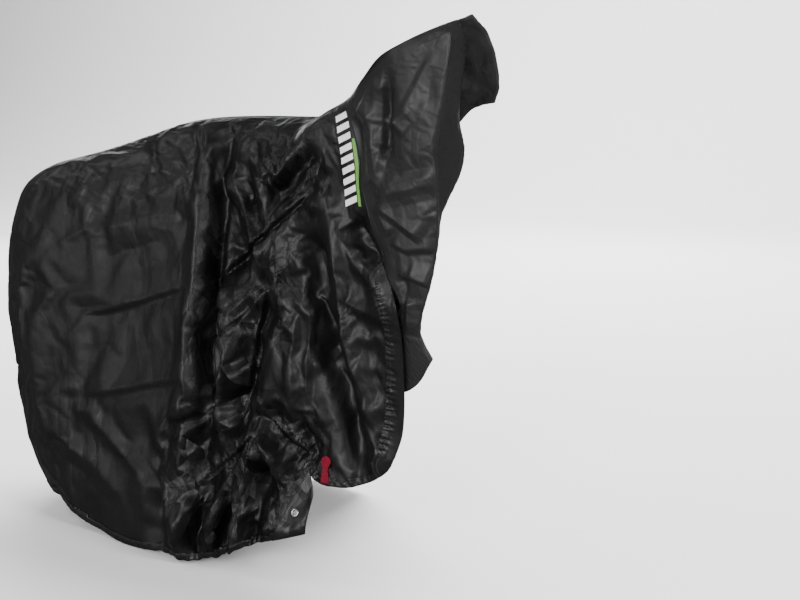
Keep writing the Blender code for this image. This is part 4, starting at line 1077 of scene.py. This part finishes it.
# %% [markdown]
# ## Floor, light and camera
# A pale floor runs up into a pale wall. Five soft lights stand in front of the cloth, each where one set of
# folds looks, two unseen ones light its far side, and a large one overhead lights the paper. The paper and
# that light are kept out of the cloth's gloss: with them in it the black would turn grey.

# %% Build the studio
STUDIO, BEND = 6.0, 2.0    # half the floor's width, and the radius where it turns up into the wall
studio = bmesh.new()
bmesh.ops.create_grid(studio, x_segments=2, y_segments=2, size=STUDIO)
back = [e for e in studio.edges if all(v.co.y > STUDIO - 0.1 for v in e.verts)]
risen = bmesh.ops.extrude_edge_only(studio, edges=back)["geom"]
risen = [v for v in risen if isinstance(v, bmesh.types.BMVert)]
bmesh.ops.translate(studio, vec=(0, 0, STUDIO), verts=risen)
bend = [e for e in studio.edges if all(v.co.y > STUDIO - 0.1 and abs(v.co.z) < 0.1 for v in e.verts)]
bmesh.ops.bevel(studio, geom=bend, offset=BEND, offset_type="OFFSET", segments=16, profile=0.5,
                affect="EDGES", material=-1)
bmesh.ops.translate(studio, vec=(0, 0, -SADDLE_TOP[2]), verts=studio.verts[:])
backdrop = new_object("studio_floor", studio)
paper = Finish("studio paper", Roughness=0.9)
grain = paper.node("ShaderNodeTexNoise", Vector=paper.place(), Scale=3.0, Detail=2.0)
paper.shade("Base Color", paper.colours(grain, (0.93, 0.93, 0.93, 1), (0.95, 0.95, 0.95, 1)))
backdrop.data.materials.append(paper.material)
backdrop.visible_glossy = False
backdrop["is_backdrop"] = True


def soft_light(name, place, aim, size, power):
    data = bpy.data.lights.new(name, "AREA")
    data.shape = "RECTANGLE"
    data.size, data.size_y = size
    data.energy = power
    light = linked(name, data)
    light.location = place
    light.rotation_euler = (Vector(aim) - Vector(place)).to_track_quat("-Z", "Y").to_euler()
    return light


LIGHTS = [  # name, place, aimed at, size, watts
    ("low_left", (-2.4, -2.9, 0.3), (-0.2, 0.0, -0.4), (1.5, 1.7), 18.0),
    ("high_left", (-3.2, -1.2, 3.2), (0.0, 0.0, 0.0), (1.6, 1.4), 45.0),
    ("low_middle", (-0.85, -3.9, -0.05), (0.35, -0.2, -0.3), (1.0, 1.1), 26.0),
    ("beside_camera", (0.6, -4.0, 0.9), (0.4, 0.0, 0.0), (1.4, 1.6), 128.0),
    ("front_right", (3.0, -1.0, 1.0), (0.1, 0.0, -0.3), (1.0, 1.6), 95.0),
    ("far_left", (-2.8, 3.2, 0.4), (0.0, 0.2, -0.3), (1.5, 1.7), 44.0),
    ("far_middle", (-0.2, 4.2, 0.5), (0.0, 0.2, -0.3), (1.5, 1.7), 40.0),
    ("overhead", (-0.5, 3.0, 3.6), (-0.5, 3.0, -0.9), (5.0, 3.6), 720.0),
]
lights = {name: soft_light(name, *rest) for name, *rest in LIGHTS}
lights["far_left"].visible_camera = lights["far_middle"].visible_camera = False
lights["overhead"].visible_glossy = False
world = bpy.data.worlds.new("pale surroundings")
world.use_nodes = True
glow = world.node_tree.nodes["Background"].inputs
glow["Color"].default_value = (1.0, 1.0, 1.0, 1.0)
glow["Strength"].default_value = 0.17
bpy.context.scene.world = world

camera_data = bpy.data.cameras.new("camera")
camera_data.lens = 58.44
camera_data.sensor_width = 36.0
camera_data.sensor_fit = "HORIZONTAL"
camera = linked("camera", camera_data)
camera.location = np.array([1.71823, -2.46429, 1.13843]) - SADDLE_TOP
camera.rotation_euler = (math.radians(90 - 12.122), 0.0, math.radians(24.992))
bpy.context.scene.camera = camera

# %% Write the two boxes and finish
low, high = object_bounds()
for title, box in (("visual box", high - low), ("solids' box", cad_high - cad_low)):
    print(title, [round(v, 3) for v in box])
